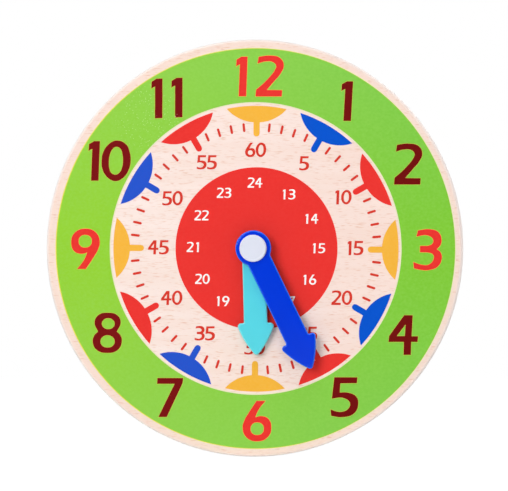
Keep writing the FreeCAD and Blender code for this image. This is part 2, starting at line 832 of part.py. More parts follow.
def make_housing_cover():
    """The back of the case: a plate with the hanging tab, the knob's well and the stud's boss."""
    body = new_body("housing_cover")
    plate = facing(body, "plate", "0")
    add_case_outline(plate)
    pad(body, plate, "cover_thickness")

    tab = facing(body, "hanging_tab", "0")
    half, top = "(hanger_tab_width / 2)", f"({CASE_TOP} + hanger_tab_reach)"
    add_outline(
        tab,
        [
            (half, f"{CASE_TOP} - wall"),
            (half, top, half),
            ("0", f"{top} + {half}", half),
            (f"-{half}", top),
            (f"-{half}", f"{CASE_TOP} - wall"),
        ],
    )
    pad(body, tab, "cover_thickness")
    bevel_edges(body, "back_bevels", "cover_edge_bevel", lambda edge: at_depth(edge, 0))

    well = facing(body, "well_wall", "cover_thickness / 2")
    add_circle(well, "well_diameter / 2 + wall")
    pad(body, well, f"{FLOOR_FRONT} - cover_thickness / 2")
    boss = facing(body, "stud_boss", "cover_thickness / 2")
    add_circle(boss, "stud_boss_diameter / 2", "0", f"-{STUD_DROP}")
    pad(body, boss, f"{PINION_BACK} - end_gap - cover_thickness / 2")

    lips = facing(body, "lips", "cover_thickness / 2")
    outer = f"({CASE_HALF_WIDTH} - wall - turn_gap / 2)"
    for side in (-1, 1):
        near, far = f"{side} * ({outer} - lip_width)", f"{side} * {outer}"
        left, right = (near, far) if side > 0 else (far, near)
        reach = "lip_side_length / 2"
        add_box(lips, left, right, f"{CASE_MIDDLE} - {reach}", f"{CASE_MIDDLE} + {reach}")
        low = f"({CASE_TOP} - wall - turn_gap / 2 - lip_width)"
        if side < 0:
            low = f"({CASE_BOTTOM} + wall + turn_gap / 2)"
        add_box(lips, "-lip_end_length / 2", "lip_end_length / 2", low, f"{low} + lip_width")
    pad(body, lips, "cover_thickness / 2 + lip_height")

    hollow = facing(body, "well", "0")
    add_circle(hollow, "well_diameter / 2")
    pocket(body, hollow, FLOOR_BACK)
    bearing = facing(body, "arbor_hole", FLOOR_BACK)
    add_circle(bearing, ARBOR_BORE)
    pocket(body, bearing, "well_floor")
    stud = facing(body, "stud_hole", "cover_thickness")
    add_circle(stud, "stud_diameter / 2 + fit_gap", "0", f"-{STUD_DROP}")
    pocket(body, stud, f"{PINION_BACK} - cover_thickness")
    heads = facing(body, "screw_heads", "0")
    shanks = facing(body, "screw_holes", "0")
    for x, z in POSTS:
        add_circle(heads, "cover_screw_head / 2 + hole_gap", x, z)
        add_circle(shanks, "cover_screw_shank / 2 + hole_gap", x, z)
    pocket(body, heads, "cover_screw_head_height + fit_gap")
    pocket(body, shanks, "cover_thickness")
    hanger = facing(body, "hanger_hole", "0")
    add_circle(hanger, "hanger_hole_diameter / 2", "0", top)
    pocket(body, hanger, "cover_thickness")
    return body


# ------------------------------------------------------------------ setting knob


def make_setting_knob():
    body = new_body("setting_knob")
    disc = facing(body, "disc", "knob_inset")
    add_circle(disc, "knob_diameter / 2")
    pad(body, disc, "knob_thickness")
    bevel_edges(body, "edge_bevels", "knob_edge_bevel", is_round_rim)
    flute = facing(body, "flute", "knob_inset")
    flute_radius = "knob_flute_diameter / 2"
    add_circle(flute, flute_radius, "0", f"knob_diameter / 2 + {flute_radius} - knob_flute_depth")
    first = pocket(body, flute, "knob_thickness")
    flutes = body.newObject("PartDesign::PolarPattern", "setting_knob_flutes")
    flutes.Originals = [first]
    flutes.Axis = (flute, ["N_Axis"])
    flutes.Angle = 360
    flutes.Occurrences = KNOB_FLUTES
    body.Tip = flutes
    recess_depth = "(knob_screw_head_height + turn_gap)"
    recess = facing(body, "screw_recess", "knob_inset")
    add_circle(recess, "knob_screw_head / 2 + hole_gap")
    pocket(body, recess, recess_depth)
    hole = facing(body, "screw_hole", "knob_inset")
    add_circle(hole, "knob_screw_shank / 2 + hole_gap / 2")
    pocket(body, hole, f"{recess_depth} + knob_web")
    key = facing(body, "key", f"{ARBOR_BACK} - fit_gap")
    add_double_d(key, "arbor_diameter", "arbor_across_flats", "fit_gap")
    pocket(body, key, f"{KNOB_FRONT} - {ARBOR_BACK} + fit_gap")
    turn_to(body, "minute_hand_angle")
    return body


# ------------------------------------------------------------------ screws


def make_screw(name, kind, seat, reach, x="0", z="0"):
    """A screw driven from the back, with its head's seat at a depth and a cross in its head."""
    head, shank = f"({kind}_head / 2)", f"({kind}_shank / 2)"
    crown = f"({seat} - {kind}_head_height)"
    end = f"({seat} + {reach})"
    body = turned(
        name,
        [
            ("0", end),
            (shank, end),
            (shank, seat),
            (head, seat),
            (head, f"({crown} + screw_head_bevel)"),
            (f"({head} - screw_head_bevel)", crown),
            ("0", crown),
        ],
    )
    cross = facing(body, "cross", crown)
    arm, half = "(cross_length / 2)", "(cross_width / 2)"
    add_outline(
        cross,
        [
            (half, f"-{arm}"),
            (half, f"-{half}"),
            (arm, f"-{half}"),
            (arm, half),
            (half, half),
            (half, arm),
            (f"-{half}", arm),
            (f"-{half}", half),
            (f"-{arm}", half),
            (f"-{arm}", f"-{half}"),
            (f"-{half}", f"-{half}"),
            (f"-{half}", f"-{arm}"),
        ],
    )
    pocket(body, cross, "cross_depth")
    bind(body, "Placement.Base.x", x)
    bind(body, "Placement.Base.z", z)
    return body


def make_screw_group(name, kind, seat, reach, places):
    """Identical screws as one group of separate solids."""
    group = doc.addObject("Part::Compound", name)
    group.Label = name
    group.Links = [
        make_screw(f"{kind}_{i}", kind, seat, reach, x, z) for i, (x, z) in enumerate(places, start=1)
    ]
    return group


# ------------------------------------------------------------------ the clock

sub_parts = [
    make_dial_board(),
    make_gear_housing(),
    make_housing_cover(),
    make_dial_bush(),
    make_idler_stud(),
    make_washer("face_washer", FACE_WASHER_BACK, "(pipe_diameter / 2 + run_gap)", "face_washer_diameter"),
    make_screw_group(
        "housing_screws",
        "wood_screw",
        f"({BOARD_BACK} - ear_thickness - fit_gap)",
        "(ear_thickness + wood_screw_grip)",
        [(ear_x(side), height) for side, height in EARS],
    ),
    make_screw_group(
        "cover_screws",
        "cover_screw",
        "cover_screw_head_height",
        "(cover_thickness - cover_screw_head_height + cover_screw_grip)",
        POSTS,
    ),
    make_minute_arbor(),
    make_cannon_pinion(),
    make_spring_washer(),
    make_washer("thrust_washer", THRUST_BACK, ARBOR_BORE, "thrust_washer_diameter"),
    make_washer("hand_spacer", SPACER_BACK, ARBOR_BORE, "hand_spacer_diameter"),
    make_hand("minute_hand", "minute", MINUTE_HAND_BACK, "arbor_diameter", "arbor_across_flats"),
    make_centre_cap(),
    make_setting_knob(),
    make_screw("knob_screw", "knob_screw", KNOB_SCREW_SEAT, "(knob_web + knob_screw_grip)"),
    make_minute_wheel(),
    make_hour_wheel(),
    make_hand("hour_hand", "hour", HOUR_HAND_BACK, "pipe_diameter", "pipe_across_flats"),
]
doc.recompute()

for thing in doc.Objects:
    if {"Invalid", "Error"} & set(thing.State):
        raise RuntimeError(f"{thing.Name} failed: {thing.State}")
os.makedirs("parts", exist_ok=True)
for sub_part in sub_parts:
    shape = sub_part.Shape
    if shape.isNull() or not shape.isValid():
        raise RuntimeError(f"{sub_part.Label} has no valid shape")
    shape.exportStep(f"parts/{sub_part.Label}.step")
    print(f"{sub_part.Label}: {len(shape.Solids)} solids, {shape.Volume:.1f} mm3")
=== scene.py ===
"""Geared teaching clock: a beech dial board with a screen-printed dial, two flat moulded hands and,
behind the board, a moulded case with the gears that couple the hands."""

import math

import bmesh
import bpy
from bpy.props import FloatProperty, FloatVectorProperty, PointerProperty
from mathutils import Matrix, Vector


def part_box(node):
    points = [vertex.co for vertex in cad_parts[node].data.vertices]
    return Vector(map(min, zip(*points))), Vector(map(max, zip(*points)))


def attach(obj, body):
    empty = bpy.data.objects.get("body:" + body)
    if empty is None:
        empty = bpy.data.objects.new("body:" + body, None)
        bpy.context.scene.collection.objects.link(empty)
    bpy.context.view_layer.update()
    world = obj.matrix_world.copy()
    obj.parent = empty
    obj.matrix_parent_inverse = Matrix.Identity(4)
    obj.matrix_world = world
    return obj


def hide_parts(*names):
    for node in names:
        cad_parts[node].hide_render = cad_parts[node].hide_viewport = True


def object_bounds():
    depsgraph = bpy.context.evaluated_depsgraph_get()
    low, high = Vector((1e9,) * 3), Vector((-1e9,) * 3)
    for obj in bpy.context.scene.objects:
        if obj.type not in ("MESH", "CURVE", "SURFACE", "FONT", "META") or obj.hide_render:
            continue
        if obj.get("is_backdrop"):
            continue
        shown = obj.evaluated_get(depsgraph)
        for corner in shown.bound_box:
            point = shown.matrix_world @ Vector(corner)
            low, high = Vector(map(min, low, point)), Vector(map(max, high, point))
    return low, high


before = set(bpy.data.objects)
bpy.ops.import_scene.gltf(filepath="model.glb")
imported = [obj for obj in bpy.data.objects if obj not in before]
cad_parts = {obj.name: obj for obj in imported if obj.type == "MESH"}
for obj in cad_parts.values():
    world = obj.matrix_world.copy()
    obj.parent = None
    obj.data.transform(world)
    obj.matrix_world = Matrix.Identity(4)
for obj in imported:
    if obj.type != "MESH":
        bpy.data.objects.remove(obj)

bl_info = {
    "name": "Geared teaching clock",
    "version": (1, 0, 0),
    "blender": (4, 5, 0),
    "location": "3D View > Sidebar > Clock",
    "description": "Dial board, printed dial, hands and case of a geared teaching clock",
    "category": "Add Mesh",
}

CAD_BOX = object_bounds()
MM = 0.001

# ------------------------------------------------------------------ sizes read from the frame


def depths_of(node):
    """How far a node's back and front lie from the case's back face."""
    low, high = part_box(node)
    return -high.y, -low.y


def radius_of(node):
    """The radius of a round node about the arbor's axis."""
    low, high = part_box(node)
    return (high.x - low.x) / 2


BOARD_BACK, BOARD_FRONT = depths_of("dial_board")
BOARD_RADIUS = radius_of("dial_board")

# ------------------------------------------------------------------ the numerals
# A digit's outlines are in millimetres, in a numeral 19.3 high whose lower left corner is at 0, 0. A
# star marks a sharp corner; the other points are joined smoothly. The first outline is the outer edge.

DIGIT_HEIGHT = 19.3
DIGITS = {
    "0": (
        "7.2,19.4 11.6,17.7 13.5,13.7 13.9,9.7 13.1,5.7 10.4,1.7 6.7,0 2.9,1.7 0.4,5.7 0,9.7 0.7,13.7"
        " 3.5,17.7",
        "7.1,16.5 9.1,15.5 10.1,12.6 10.3,9.7 9.8,6.3 8.5,3.9 6.6,3 4.6,3.9 3.6,6.2 3.4,8.9 3.7,11.9"
        " 5.3,15.5",
    ),
    "1": (
        "1.2,0* 4.7,0* 5.4,18.9* 2.6,18.9* 0.2,17.5* 0,14.3* 0.8,14.9 1.8,15.3*",
    ),
    "2": (
        "0,0* 12.5,0* 12.7,2.9* 5.2,3* 9,7.4 12,11 13.5,14.9 11.8,18.3 6.9,19.5 1.5,18.9* 1,15.8*"
        " 5,16.8 8.5,16.4 9.9,14.7 9.3,12.6 7,9.5 3.5,5.9 0.3,3.2*",
    ),
    "3": (
        "2.2,18.9* 7.4,19.5 11.8,18.2 13.4,14.8 12.9,12 11.1,10* 13,8.3 13.5,5.3 11.4,1.5 7.6,0.1"
        " 4.4,0 0.3,0.8* 0,3.7* 3.9,2.5 7.4,2.6 9.8,5.7 9.2,7.7 6.8,8.5* 3.2,8.5* 3.2,11.5* 6.8,11.5*"
        " 9,12.5 9.5,14.6 6.9,16.6 1.5,16.1*",
    ),
    "4": (
        "7.5,18.9* 11.5,18.9* 11,8.8* 14.1,8.8* 13.8,6.2* 10.8,6.2* 10.6,0* 7.2,0* 7.4,6.2* 0,6.2*"
        " 0.3,9*",
        "8.2,14.7* 7.8,8.9* 3.8,8.9*",
    ),
    "5": (
        "1.8,19* 12.8,19* 12.5,16.3* 4.6,16.2* 4.3,11.7* 8.5,11.6 12.2,9.8 13.2,6.6 11.3,1.9 5.6,0"
        " 0.3,0.6* 0,3.6* 2.8,2.6 5.6,2.5 8.6,4.1 9.3,6.8 6.1,9.2 0.6,8.9*",
    ),
    "6": (
        "6.7,19.3* 10.8,19.3* 7.6,15.2 5.9,11.4* 9.1,12 12.4,10.6 13.7,6.6 12.2,2.2 7,0 1.8,1.9 0,6.3"
        " 0.8,9.9 3.1,13.9",
        "7,9.1 9.4,8.2 10.2,6 9.4,3.8 7,2.9 4.5,3.8 3.7,6 4.6,8.2",
    ),
    "7": (
        "0.2,18.6* 12.5,18.6* 12.2,16.2* 4.6,0* 0.7,0* 8.5,15.9* 0,15.9*",
    ),
    "8": (
        "7.3,19.2 11.8,18 13.4,14.7 11.5,10.2* 13.3,8.4 13.9,5.3 12.1,1.5 6.9,0 1.8,1.5 0,5.1 0.7,8.2"
        " 2.6,10.2* 0.9,14.5 2.6,18",
        "7.4,16.7 9.7,15.9 10.6,14 9.7,12.1 7.5,11.3 5.2,12.1 4.3,14 5.2,15.9",
        "7.1,8.5 9.6,7.6 10.6,5.4 9.6,3.3 7.1,2.5 4.6,3.3 3.6,5.4 4.6,7.6",
    ),
}
DIGIT_WIDTH = {
    "0": 13.9, "1": 5.4, "2": 13.5, "3": 13.5, "4": 14.1,
    "5": 13.2, "6": 13.7, "7": 12.5, "8": 13.9, "9": 13.7,
}

# The digits of the hours by ink: where each one's lower left corner stands on the board, in millimetres
# to the right of its centre and above it, and the digit's anticlockwise turn in degrees.
HOUR_DIGITS = {
    "red": (
        ("3", 76.5, -10.4, 0.0), ("6", -5.5, -92.6, 0.0), ("9", -88.1, -10.0, 0.0),
        ("1", -8.6, 72.9, 0.0), ("2", 0.7, 72.8, 0.0),
    ),
    "maroon": (
        ("1", 41.75, 61.1, -1.0), ("2", 67.2, 30.6, 0.0), ("4", 64.6, -51.0, 0.0),
        ("5", 36.8, -80.9, 0.0), ("7", -46.7, -81.0, 0.0), ("8", -77.7, -50.3, 0.0),
        ("1", -79.7, 32.4, 0.0), ("0", -73.4, 32.2, 0.0), ("1", -48.9, 62.3, 2.0), ("1", -39.25, 62.7, 2.0),
    ),
}

# The small numerals: what they say, and the middle and the foot of each on the board, in millimetres.
MINUTE_NUMERALS = (
    ("60", 0.7, 43.7), ("5", 24.0, 37.3), ("10", 42.9, 21.0), ("15", 48.7, -3.3), ("20", 42.1, -27.2),
    ("25", 25.4, -44.4), ("30", 0.2, -51.0), ("35", -23.8, -44.3), ("40", -39.7, -27.3), ("45", -46.1, -3.0),
    ("50", -39.3, 20.5), ("55", -22.8, 37.8),
)
DAY_NUMERALS = (
    ("24", 0.4, 29.0), ("13", 16.8, 23.4), ("14", 27.8, 11.7), ("15", 31.2, -2.4), ("16", 26.8, -17.5),
    ("17", 16.8, -27.7), ("18", 0.4, -33.4), ("19", -14.9, -27.8), ("20", -24.9, -17.2), ("21", -29.5, -1.9),
    ("22", -25.3, 13.3), ("23", -14.5, 24.1),
)
MINUTE_HEIGHT = 6.9
DAY_HEIGHT = 4.85
DIGIT_GAP = 0.25

# ------------------------------------------------------------------ the hands

# Length from the axis, width of the shank, width and length of the head, and diameter of the hub, in
# millimetres, and the hand's place at rest, in degrees clockwise from twelve.
HANDS = {
    "minute": (64.7, 11.7, 18.8, 16.2, 17.2, 154.1),
    "hour": (51.9, 11.3, 18.6, 16.1, 15.0, 178.5),
}
HEAD_SIDE_RADIUS = 45.0
# How far along the outline the rounding of each kind of corner reaches, in millimetres.
NECK_REACH, THROAT_REACH, BARB_REACH, TIP_REACH = 0.8, 0.6, 2.2, 1.7

# ------------------------------------------------------------------ what a user may change


def length(name, millimetres, description):
    """A length that a user may change, given here in millimetres."""
    return FloatProperty(name=name, description=description, default=millimetres * MM, unit="LENGTH")


def linear(code):
    """A six-digit sRGB colour as linear red, green, blue and alpha."""
    parts = [int(code[i:i + 2], 16) / 255 for i in (0, 2, 4)]
    return [c / 12.92 if c <= 0.04045 else ((c + 0.055) / 1.055) ** 2.4 for c in parts] + [1.0]


def colour(name, code, description):
    """A colour that a user may change, given here as a six-digit sRGB value."""
    return FloatVectorProperty(
        name=name, description=description, subtype="COLOR", size=4, min=0.0, max=1.0, default=linear(code)
    )


class ClockSizes(bpy.types.PropertyGroup):
    """Sizes of the print and of the pieces that are shaped here."""

    ring_right: length("Ring to the right", 0.62, "The hour ring's shift on the board")
    ring_up: length("Ring up", -0.16, "The hour ring's shift on the board")
    disc_right: length("Disc to the right", 1.1, "The 24-hour disc's shift on the board")
    disc_up: length("Disc up", -0.14, "The 24-hour disc's shift on the board")
    marker_right: length("Markers to the right", 0.78, "The markers' shift on the board")
    marker_up: length("Markers up", -0.27, "The markers' shift on the board")
    underprint_right: length("Underprint to the right", -0.22, "The yellow's shift from the green over it")
    print_turn: FloatProperty(
        name="Print turn", description="The markers' clockwise turn", default=math.radians(0.38),
        unit="ROTATION",
    )
    ink_rise: length("Ink rise", 0.05, "How far the ink stands proud of the veneer")
    ring_inner: length("Ring inner radius", 70.2, "Inner edge of the hour ring")
    ring_outer: length("Ring outer radius", 95.85, "Outer edge of the hour ring")
    ring_line: length("Edge line", 0.6, "Width of the pale line along the hour ring")
    underprint_reach: length("Underprint reach", 0.28, "How far the yellow underprint passes the green")
    centre_radius: length("Centre radius", 38.95, "Radius of the 24-hour disc")
    lens_base: length("Marker base", 68.55, "Radius of the markers' outer edge")
    lens_centre: length("Marker centre", 79.95, "Radius where a marker's curve is centred")
    lens_radius: length("Marker curve", 19.4, "Radius of a marker's inner curve")
    stem_width: length("Stem width", 3.0, "Width of a marker's stem")
    stem_end: length("Stem end", 53.85, "Radius of a stem's rounded end")
    tick_inner: length("Tick inner end", 56.2, "Radius of the minute ticks' inner ends")
    tick_outer: length("Tick outer end", 60.5, "Radius of the minute ticks' outer ends")
    tick_width: length("Tick width", 1.15, "Width of a minute tick")
    board_round: length("Board arris", 1.1, "Rounding of the board's rim")
    hand_round: length("Hand arris", 0.9, "Rounding of the hands' edges")
    cap_round: length("Cap arris", 0.6, "Rounding of the centre cap's edge")
    cap_rim: length("Cap rim", 0.9, "Width of the rim round the cap's sunk face")
    cap_sunk: length("Cap face", 0.12, "How deep the cap's face is sunk")


class ClockColours(bpy.types.PropertyGroup):
    """Base colours of the wood, the inks and the mouldings."""

    # The veneer is lighter at its left than at its right: painted light, falling from the left.
    wood: colour("Beech, left", "FEECE5", "Ground of the beech veneer at its left")
    wood_right: colour("Beech, right", "FDE5DC", "Ground of the beech veneer at its right")
    wood_rim: colour("Beech, rim", "FAE1D4", "The veneer towards the rim, where it takes more varnish")
    wood_arris: colour("Beech, arris", "FEF0EA", "The veneer on the sanded arris")
    wood_band: colour("Beech band", "F6D4C3", "The wide faint bands of tone in the beech veneer")
    wood_fleck: colour("Beech fleck", "E4AC8A", "Ray flecks of the beech veneer")
    # The ring is lighter at its left than at its right: painted light, falling from the left.
    green: colour("Green ink", "81CD38", "The hour ring, at its right")
    green_left: colour("Green ink, left", "95D436", "The hour ring, at its left")
    edge_line: colour("Edge line", "F4E8C8", "The pale line along the hour ring")
    underprint: colour("Yellow underprint", "EFE058", "Shows past the green and round the numerals")
    red: colour("Red ink", "EE342F", "The 24-hour disc, the red markers and numerals")
    thin_red: colour("Thin red ink", "DA3829", "The minute numerals and ticks, on the bare veneer")
    # The dark numerals are lighter at the left: painted light, falling from the left.
    maroon: colour("Maroon ink", "720B0A", "The dark hour numerals at the right")
    maroon_left: colour("Maroon ink, left", "7C0E10", "The dark hour numerals at the left")
    yellow: colour("Yellow ink", "FAB83E", "The yellow markers")
    blue: colour("Blue ink", "0054D0", "The blue markers at the right")
    blue_left: colour("Blue ink, left", "2854CE", "The blue markers at the left")
    white: colour("White ink", "FFFDFB", "The 24-hour numerals")
    minute_hand: colour("Minute hand", "003AE1", "Dyed plastic of the minute hand and the knob")
    hour_hand: colour("Hour hand", "5CDEED", "Dyed plastic of the hour hand")
    cap: colour("Centre cap", "E4E8F7", "Dyed plastic of the centre cap")
    case: colour("Case", "EDEDE8", "Dyed plastic of the case")
    acetal: colour("Gears", "F2EEDD", "Natural acetal")
    steel: colour("Steel", "B8B8BD", "Zinc-plated steel")


def sizes():
    """The sizes that the panel shows."""
    return bpy.context.scene.clock_sizes


def tint(name):
    """One of the colours that the panel shows."""
    return getattr(bpy.context.scene.clock_colours, name)[:]


# ------------------------------------------------------------------ meshes

SAME_SPOT = 1e-6  # two points that are nearer than this are one
SHARP_ANGLE = math.radians(35.0)
# The ink starts this far under the veneer's face, so that no gap shows.
INK_ROOT = 0.04 * MM


def keep(mesh, body, finish_name):
    """Makes an object of a finished mesh, at the origin, and gives it its body, slot and finish."""
    mesh.shade_smooth()
    mesh.set_sharp_from_angle(angle=SHARP_ANGLE)
    mesh.materials.clear()
    mesh.materials.append(finish(finish_name))
    piece = bpy.data.objects.new(mesh.name, mesh)
    bpy.context.scene.collection.objects.link(piece)
    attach(piece, body)
    return piece


def mesh_of(bm, name):
    """Turns a bmesh into a mesh whose faces point outwards."""
    bmesh.ops.recalc_face_normals(bm, faces=bm.faces)
    mesh = bpy.data.meshes.new(name)
    bm.to_mesh(mesh)
    bm.free()
    return mesh


def round_arris(bm, edges, size):
    """Rounds sharp edges to an arris of that size."""
    bmesh.ops.bevel(
        bm, geom=edges, offset=size, offset_type="OFFSET", segments=5,
        profile=0.5, affect="EDGES", material=-1,
    )


def turned(name, profile, rounds=(), steps=96):
    """Spins a closed profile of (radius, depth) points about the arbor's axis. rounds holds the corners
    that get a rounded arris: (radius, depth, size)."""
    bm = bmesh.new()
    corners = [bm.verts.new((radius, -depth, 0.0)) for radius, depth in profile]
    for here, there in zip(corners, corners[1:] + corners[:1]):
        bm.edges.new((here, there))
    bmesh.ops.spin(
        bm, geom=bm.verts[:] + bm.edges[:], cent=(0, 0, 0), axis=(0, 1, 0),
        angle=2 * math.pi, steps=steps, use_merge=True, use_duplicate=False,
    )
    bmesh.ops.remove_doubles(bm, verts=bm.verts, dist=SAME_SPOT)
    bmesh.ops.recalc_face_normals(bm, faces=bm.faces)

    def on_corner(vert, radius, depth):
        off = abs(math.hypot(vert.co.x, vert.co.z) - radius)
        return off < SAME_SPOT and abs(vert.co.y + depth) < SAME_SPOT

    for radius, depth, size in rounds:
        rim = [edge for edge in bm.edges if all(on_corner(vert, radius, depth) for vert in edge.verts)]
        round_arris(bm, rim, size)
    return mesh_of(bm, name)


def upright(depth, right=0.0, up=0.0, turn=0.0):
    """From a flat drawing to its place on the dial: x to the right, y up, its face towards the reader.
    turn is clockwise."""
    stand = Matrix.Rotation(math.pi / 2, 4, "X")
    return Matrix.Translation((right, -depth, up)) @ Matrix.Rotation(turn, 4, "Y") @ stand


def points_of(text, scale):
    """The points of an outline written as text: x, y and whether the corner is sharp."""
    for word in text.split():
        x, y = word.rstrip("*").split(",")
        yield float(x) * scale, float(y) * scale, word.endswith("*")


def signed_area(points):
    """The area inside a closed outline, above zero where it runs anticlockwise."""
    ends = points[1:] + points[:1]
    return sum(a[0] * b[1] - b[0] * a[1] for a, b in zip(points, ends)) / 2


def arc(centre, radius, start, end, steps, sharp_ends=(False, False)):
    """Points on an arc, as outline points. Angles run clockwise from straight up, in degrees."""
    for i in range(steps + 1):
        angle = math.radians(start + (end - start) * i / steps)
        sharp = (i == 0 and sharp_ends[0]) or (i == steps and sharp_ends[1])
        yield centre[0] + radius * math.sin(angle), centre[1] + radius * math.cos(angle), sharp


def inked(contours, swell, thickness, fineness):
    """The flat mesh of one drawing: closed outlines, each with whether it is a hole. swell widens the
    ink, because the outer edges are set to run anticlockwise and the holes clockwise."""
    curve = bpy.data.curves.new("outline", "CURVE")
    curve.dimensions = "2D"
    curve.fill_mode = "BOTH"
    curve.resolution_u = fineness
    curve.extrude = thickness / 2
    curve.offset = swell
    for points, hole in contours:
        if (signed_area(points) > 0) == hole:
            points = points[::-1]
        spline = curve.splines.new("BEZIER")
        spline.bezier_points.add(len(points) - 1)
        spline.use_cyclic_u = True
        for knot, (x, y, sharp) in zip(spline.bezier_points, points):
            knot.co = (x, y, 0.0)
            knot.handle_left_type = knot.handle_right_type = "VECTOR" if sharp else "AUTO"
    holder = bpy.data.objects.new("outline", curve)
    bpy.context.scene.collection.objects.link(holder)
    bpy.context.view_layer.update()
    evaluated = holder.evaluated_get(bpy.context.evaluated_depsgraph_get())
    mesh = bpy.data.meshes.new_from_object(evaluated)
    bpy.data.objects.remove(holder)
    bpy.data.curves.remove(curve)
    return mesh


def printed(name, drawings, finish_name, swell=0.0, layer=1.0, fineness=6):
    """Prints drawings on the board as one piece of closed thin plates. A drawing is its contours and its
    place and turn on the dial, and layer says how many ink thicknesses the face stands off the veneer."""
    height = sizes().ink_rise * layer
    bm = bmesh.new()
    for contours, right, up, turn in drawings:
        mesh = inked(contours, swell, height + INK_ROOT, fineness)
        mesh.transform(upright(BOARD_FRONT + (height - INK_ROOT) / 2, right, up, turn))
        bm.from_mesh(mesh)
        bpy.data.meshes.remove(mesh)
    bmesh.ops.remove_doubles(bm, verts=bm.verts, dist=SAME_SPOT)
    return keep(mesh_of(bm, name), "root", finish_name)


def rounded(points, corners, steps=6):
    """Rounds the corners of a closed outline. corners holds (x, y, reach), where reach is how far along
    the outline, before and after the corner, its arc begins and ends."""
    for x, y, reach in corners:
        corner = Vector((x, y))
        spots = [Vector(p) for p in points]
        first = min(range(len(spots)), key=lambda i: (spots[i] - corner).length)
        spots = spots[first:] + spots[:first]
        ends = []
        for walk in (spots[1:], spots[:0:-1]):
            while (walk[0] - corner).length < reach:
                walk.pop(0)
            ends.append(corner + (walk[0] - corner).normalized() * reach)
        after, before = ends
        # A point that all but meets the arc's end would leave a sliver beside it.
        rest = [p for p in spots if (p - corner).length > reach * 1.02]
        weight = math.sin((before - corner).angle(after - corner) / 2)
        bend = []
        for i in range(steps + 1):
            t = i / steps
            parts = ((1 - t) ** 2, 2 * t * (1 - t) * weight, t * t)
            bend.append((parts[0] * before + parts[1] * corner + parts[2] * after) / sum(parts))
        points = [tuple(p) for p in bend + rest]
    return points


def plate(name, points, back, front, arris, turn):
    """A flat moulding: a closed outline raised to a plate with a rounded arris in front and a third of it
    behind."""
    bm = bmesh.new()
    rim = [bm.verts.new((x, y, 0.0)) for x, y in points]
    bmesh.ops.contextual_create(bm, geom=[bm.edges.new(pair) for pair in zip(rim, rim[1:] + rim[:1])])
    raised = bmesh.ops.extrude_face_region(bm, geom=bm.faces[:])
    lifted = [item for item in raised["geom"] if isinstance(item, bmesh.types.BMVert)]
    bmesh.ops.translate(bm, verts=lifted, vec=(0, 0, front - back))
    bmesh.ops.recalc_face_normals(bm, faces=bm.faces)
    for level, size in ((front - back, arris), (0.0, arris / 3)):
        rim = [edge for edge in bm.edges if all(abs(v.co.z - level) < SAME_SPOT for v in edge.verts)]
        round_arris(bm, rim, size)
    bm.transform(upright(back, turn=turn))
    return mesh_of(bm, name)


def flat_faced(piece):
    """Keeps wide faces flat in the shading right up to their rounded edges."""
    weighted = piece.modifiers.new("flat_faces", "WEIGHTED_NORMAL")
    weighted.keep_sharp = True
    weighted.weight = 100


# ------------------------------------------------------------------ materials


def add_node(tree, kind, inputs=None, **settings):
    """Adds a node, sets its settings, and sets or links its inputs."""
    node = tree.nodes.new(kind)
    for name, value in settings.items():
        setattr(node, name, value)
    for key, value in (inputs or {}).items():
        if isinstance(value, bpy.types.NodeSocket):
            tree.links.new(value, node.inputs[key])
        else:
            node.inputs[key].default_value = value
    return node


def new_material(name):
    """A material with an empty tree."""
    material = bpy.data.materials.new(name)
    material.use_nodes = True
    material.node_tree.nodes.clear()
    return material, material.node_tree


def grain(tree, pattern, along, across, **inputs):
    """The value of a pattern whose cells are so many millimetres along the veneer's grain and across it."""
    place = add_node(tree, "ShaderNodeTexCoord").outputs["Object"]
    scale = (1 / (along * MM), 1 / (across * MM), 1 / (across * MM))
    spot = add_node(tree, "ShaderNodeMapping", {"Vector": place, "Scale": scale}).outputs[0]
    return add_node(tree, pattern, {"Vector": spot, "Scale": 1.0, **inputs}).outputs[0]


def laid_over(tree, under, over, value, low, high, most=1.0, blend="MIX"):
    """Lays one colour over another as a value goes from low to high, up to a share of most."""
    share = add_node(
        tree, "ShaderNodeMapRange", {"Value": value, "From Min": low, "From Max": high, "To Max": most}
    ).outputs[0]
    return add_node(
        tree, "ShaderNodeMix", {0: share, 6: under, 7: over}, data_type="RGBA", blend_type=blend
    ).outputs[2]


def darker(tone, share):
    """A colour at that share of its light."""
    return [c * share for c in tone[:3]] + [1.0]


def beech_flecks(tree):
    """Beech's ray flecks: dashes 2 to 3 mm long and a third of a millimetre high, along the grain. They
    are the peaks of a noise whose cells are a little larger."""
    cells = grain(tree, "ShaderNodeTexNoise", 3.5, 0.42, Detail=1.0)
    peaks = add_node(tree, "ShaderNodeMapRange", {"Value": cells, "From Min": 0.585, "From Max": 0.77})
    return peaks.outputs[0]


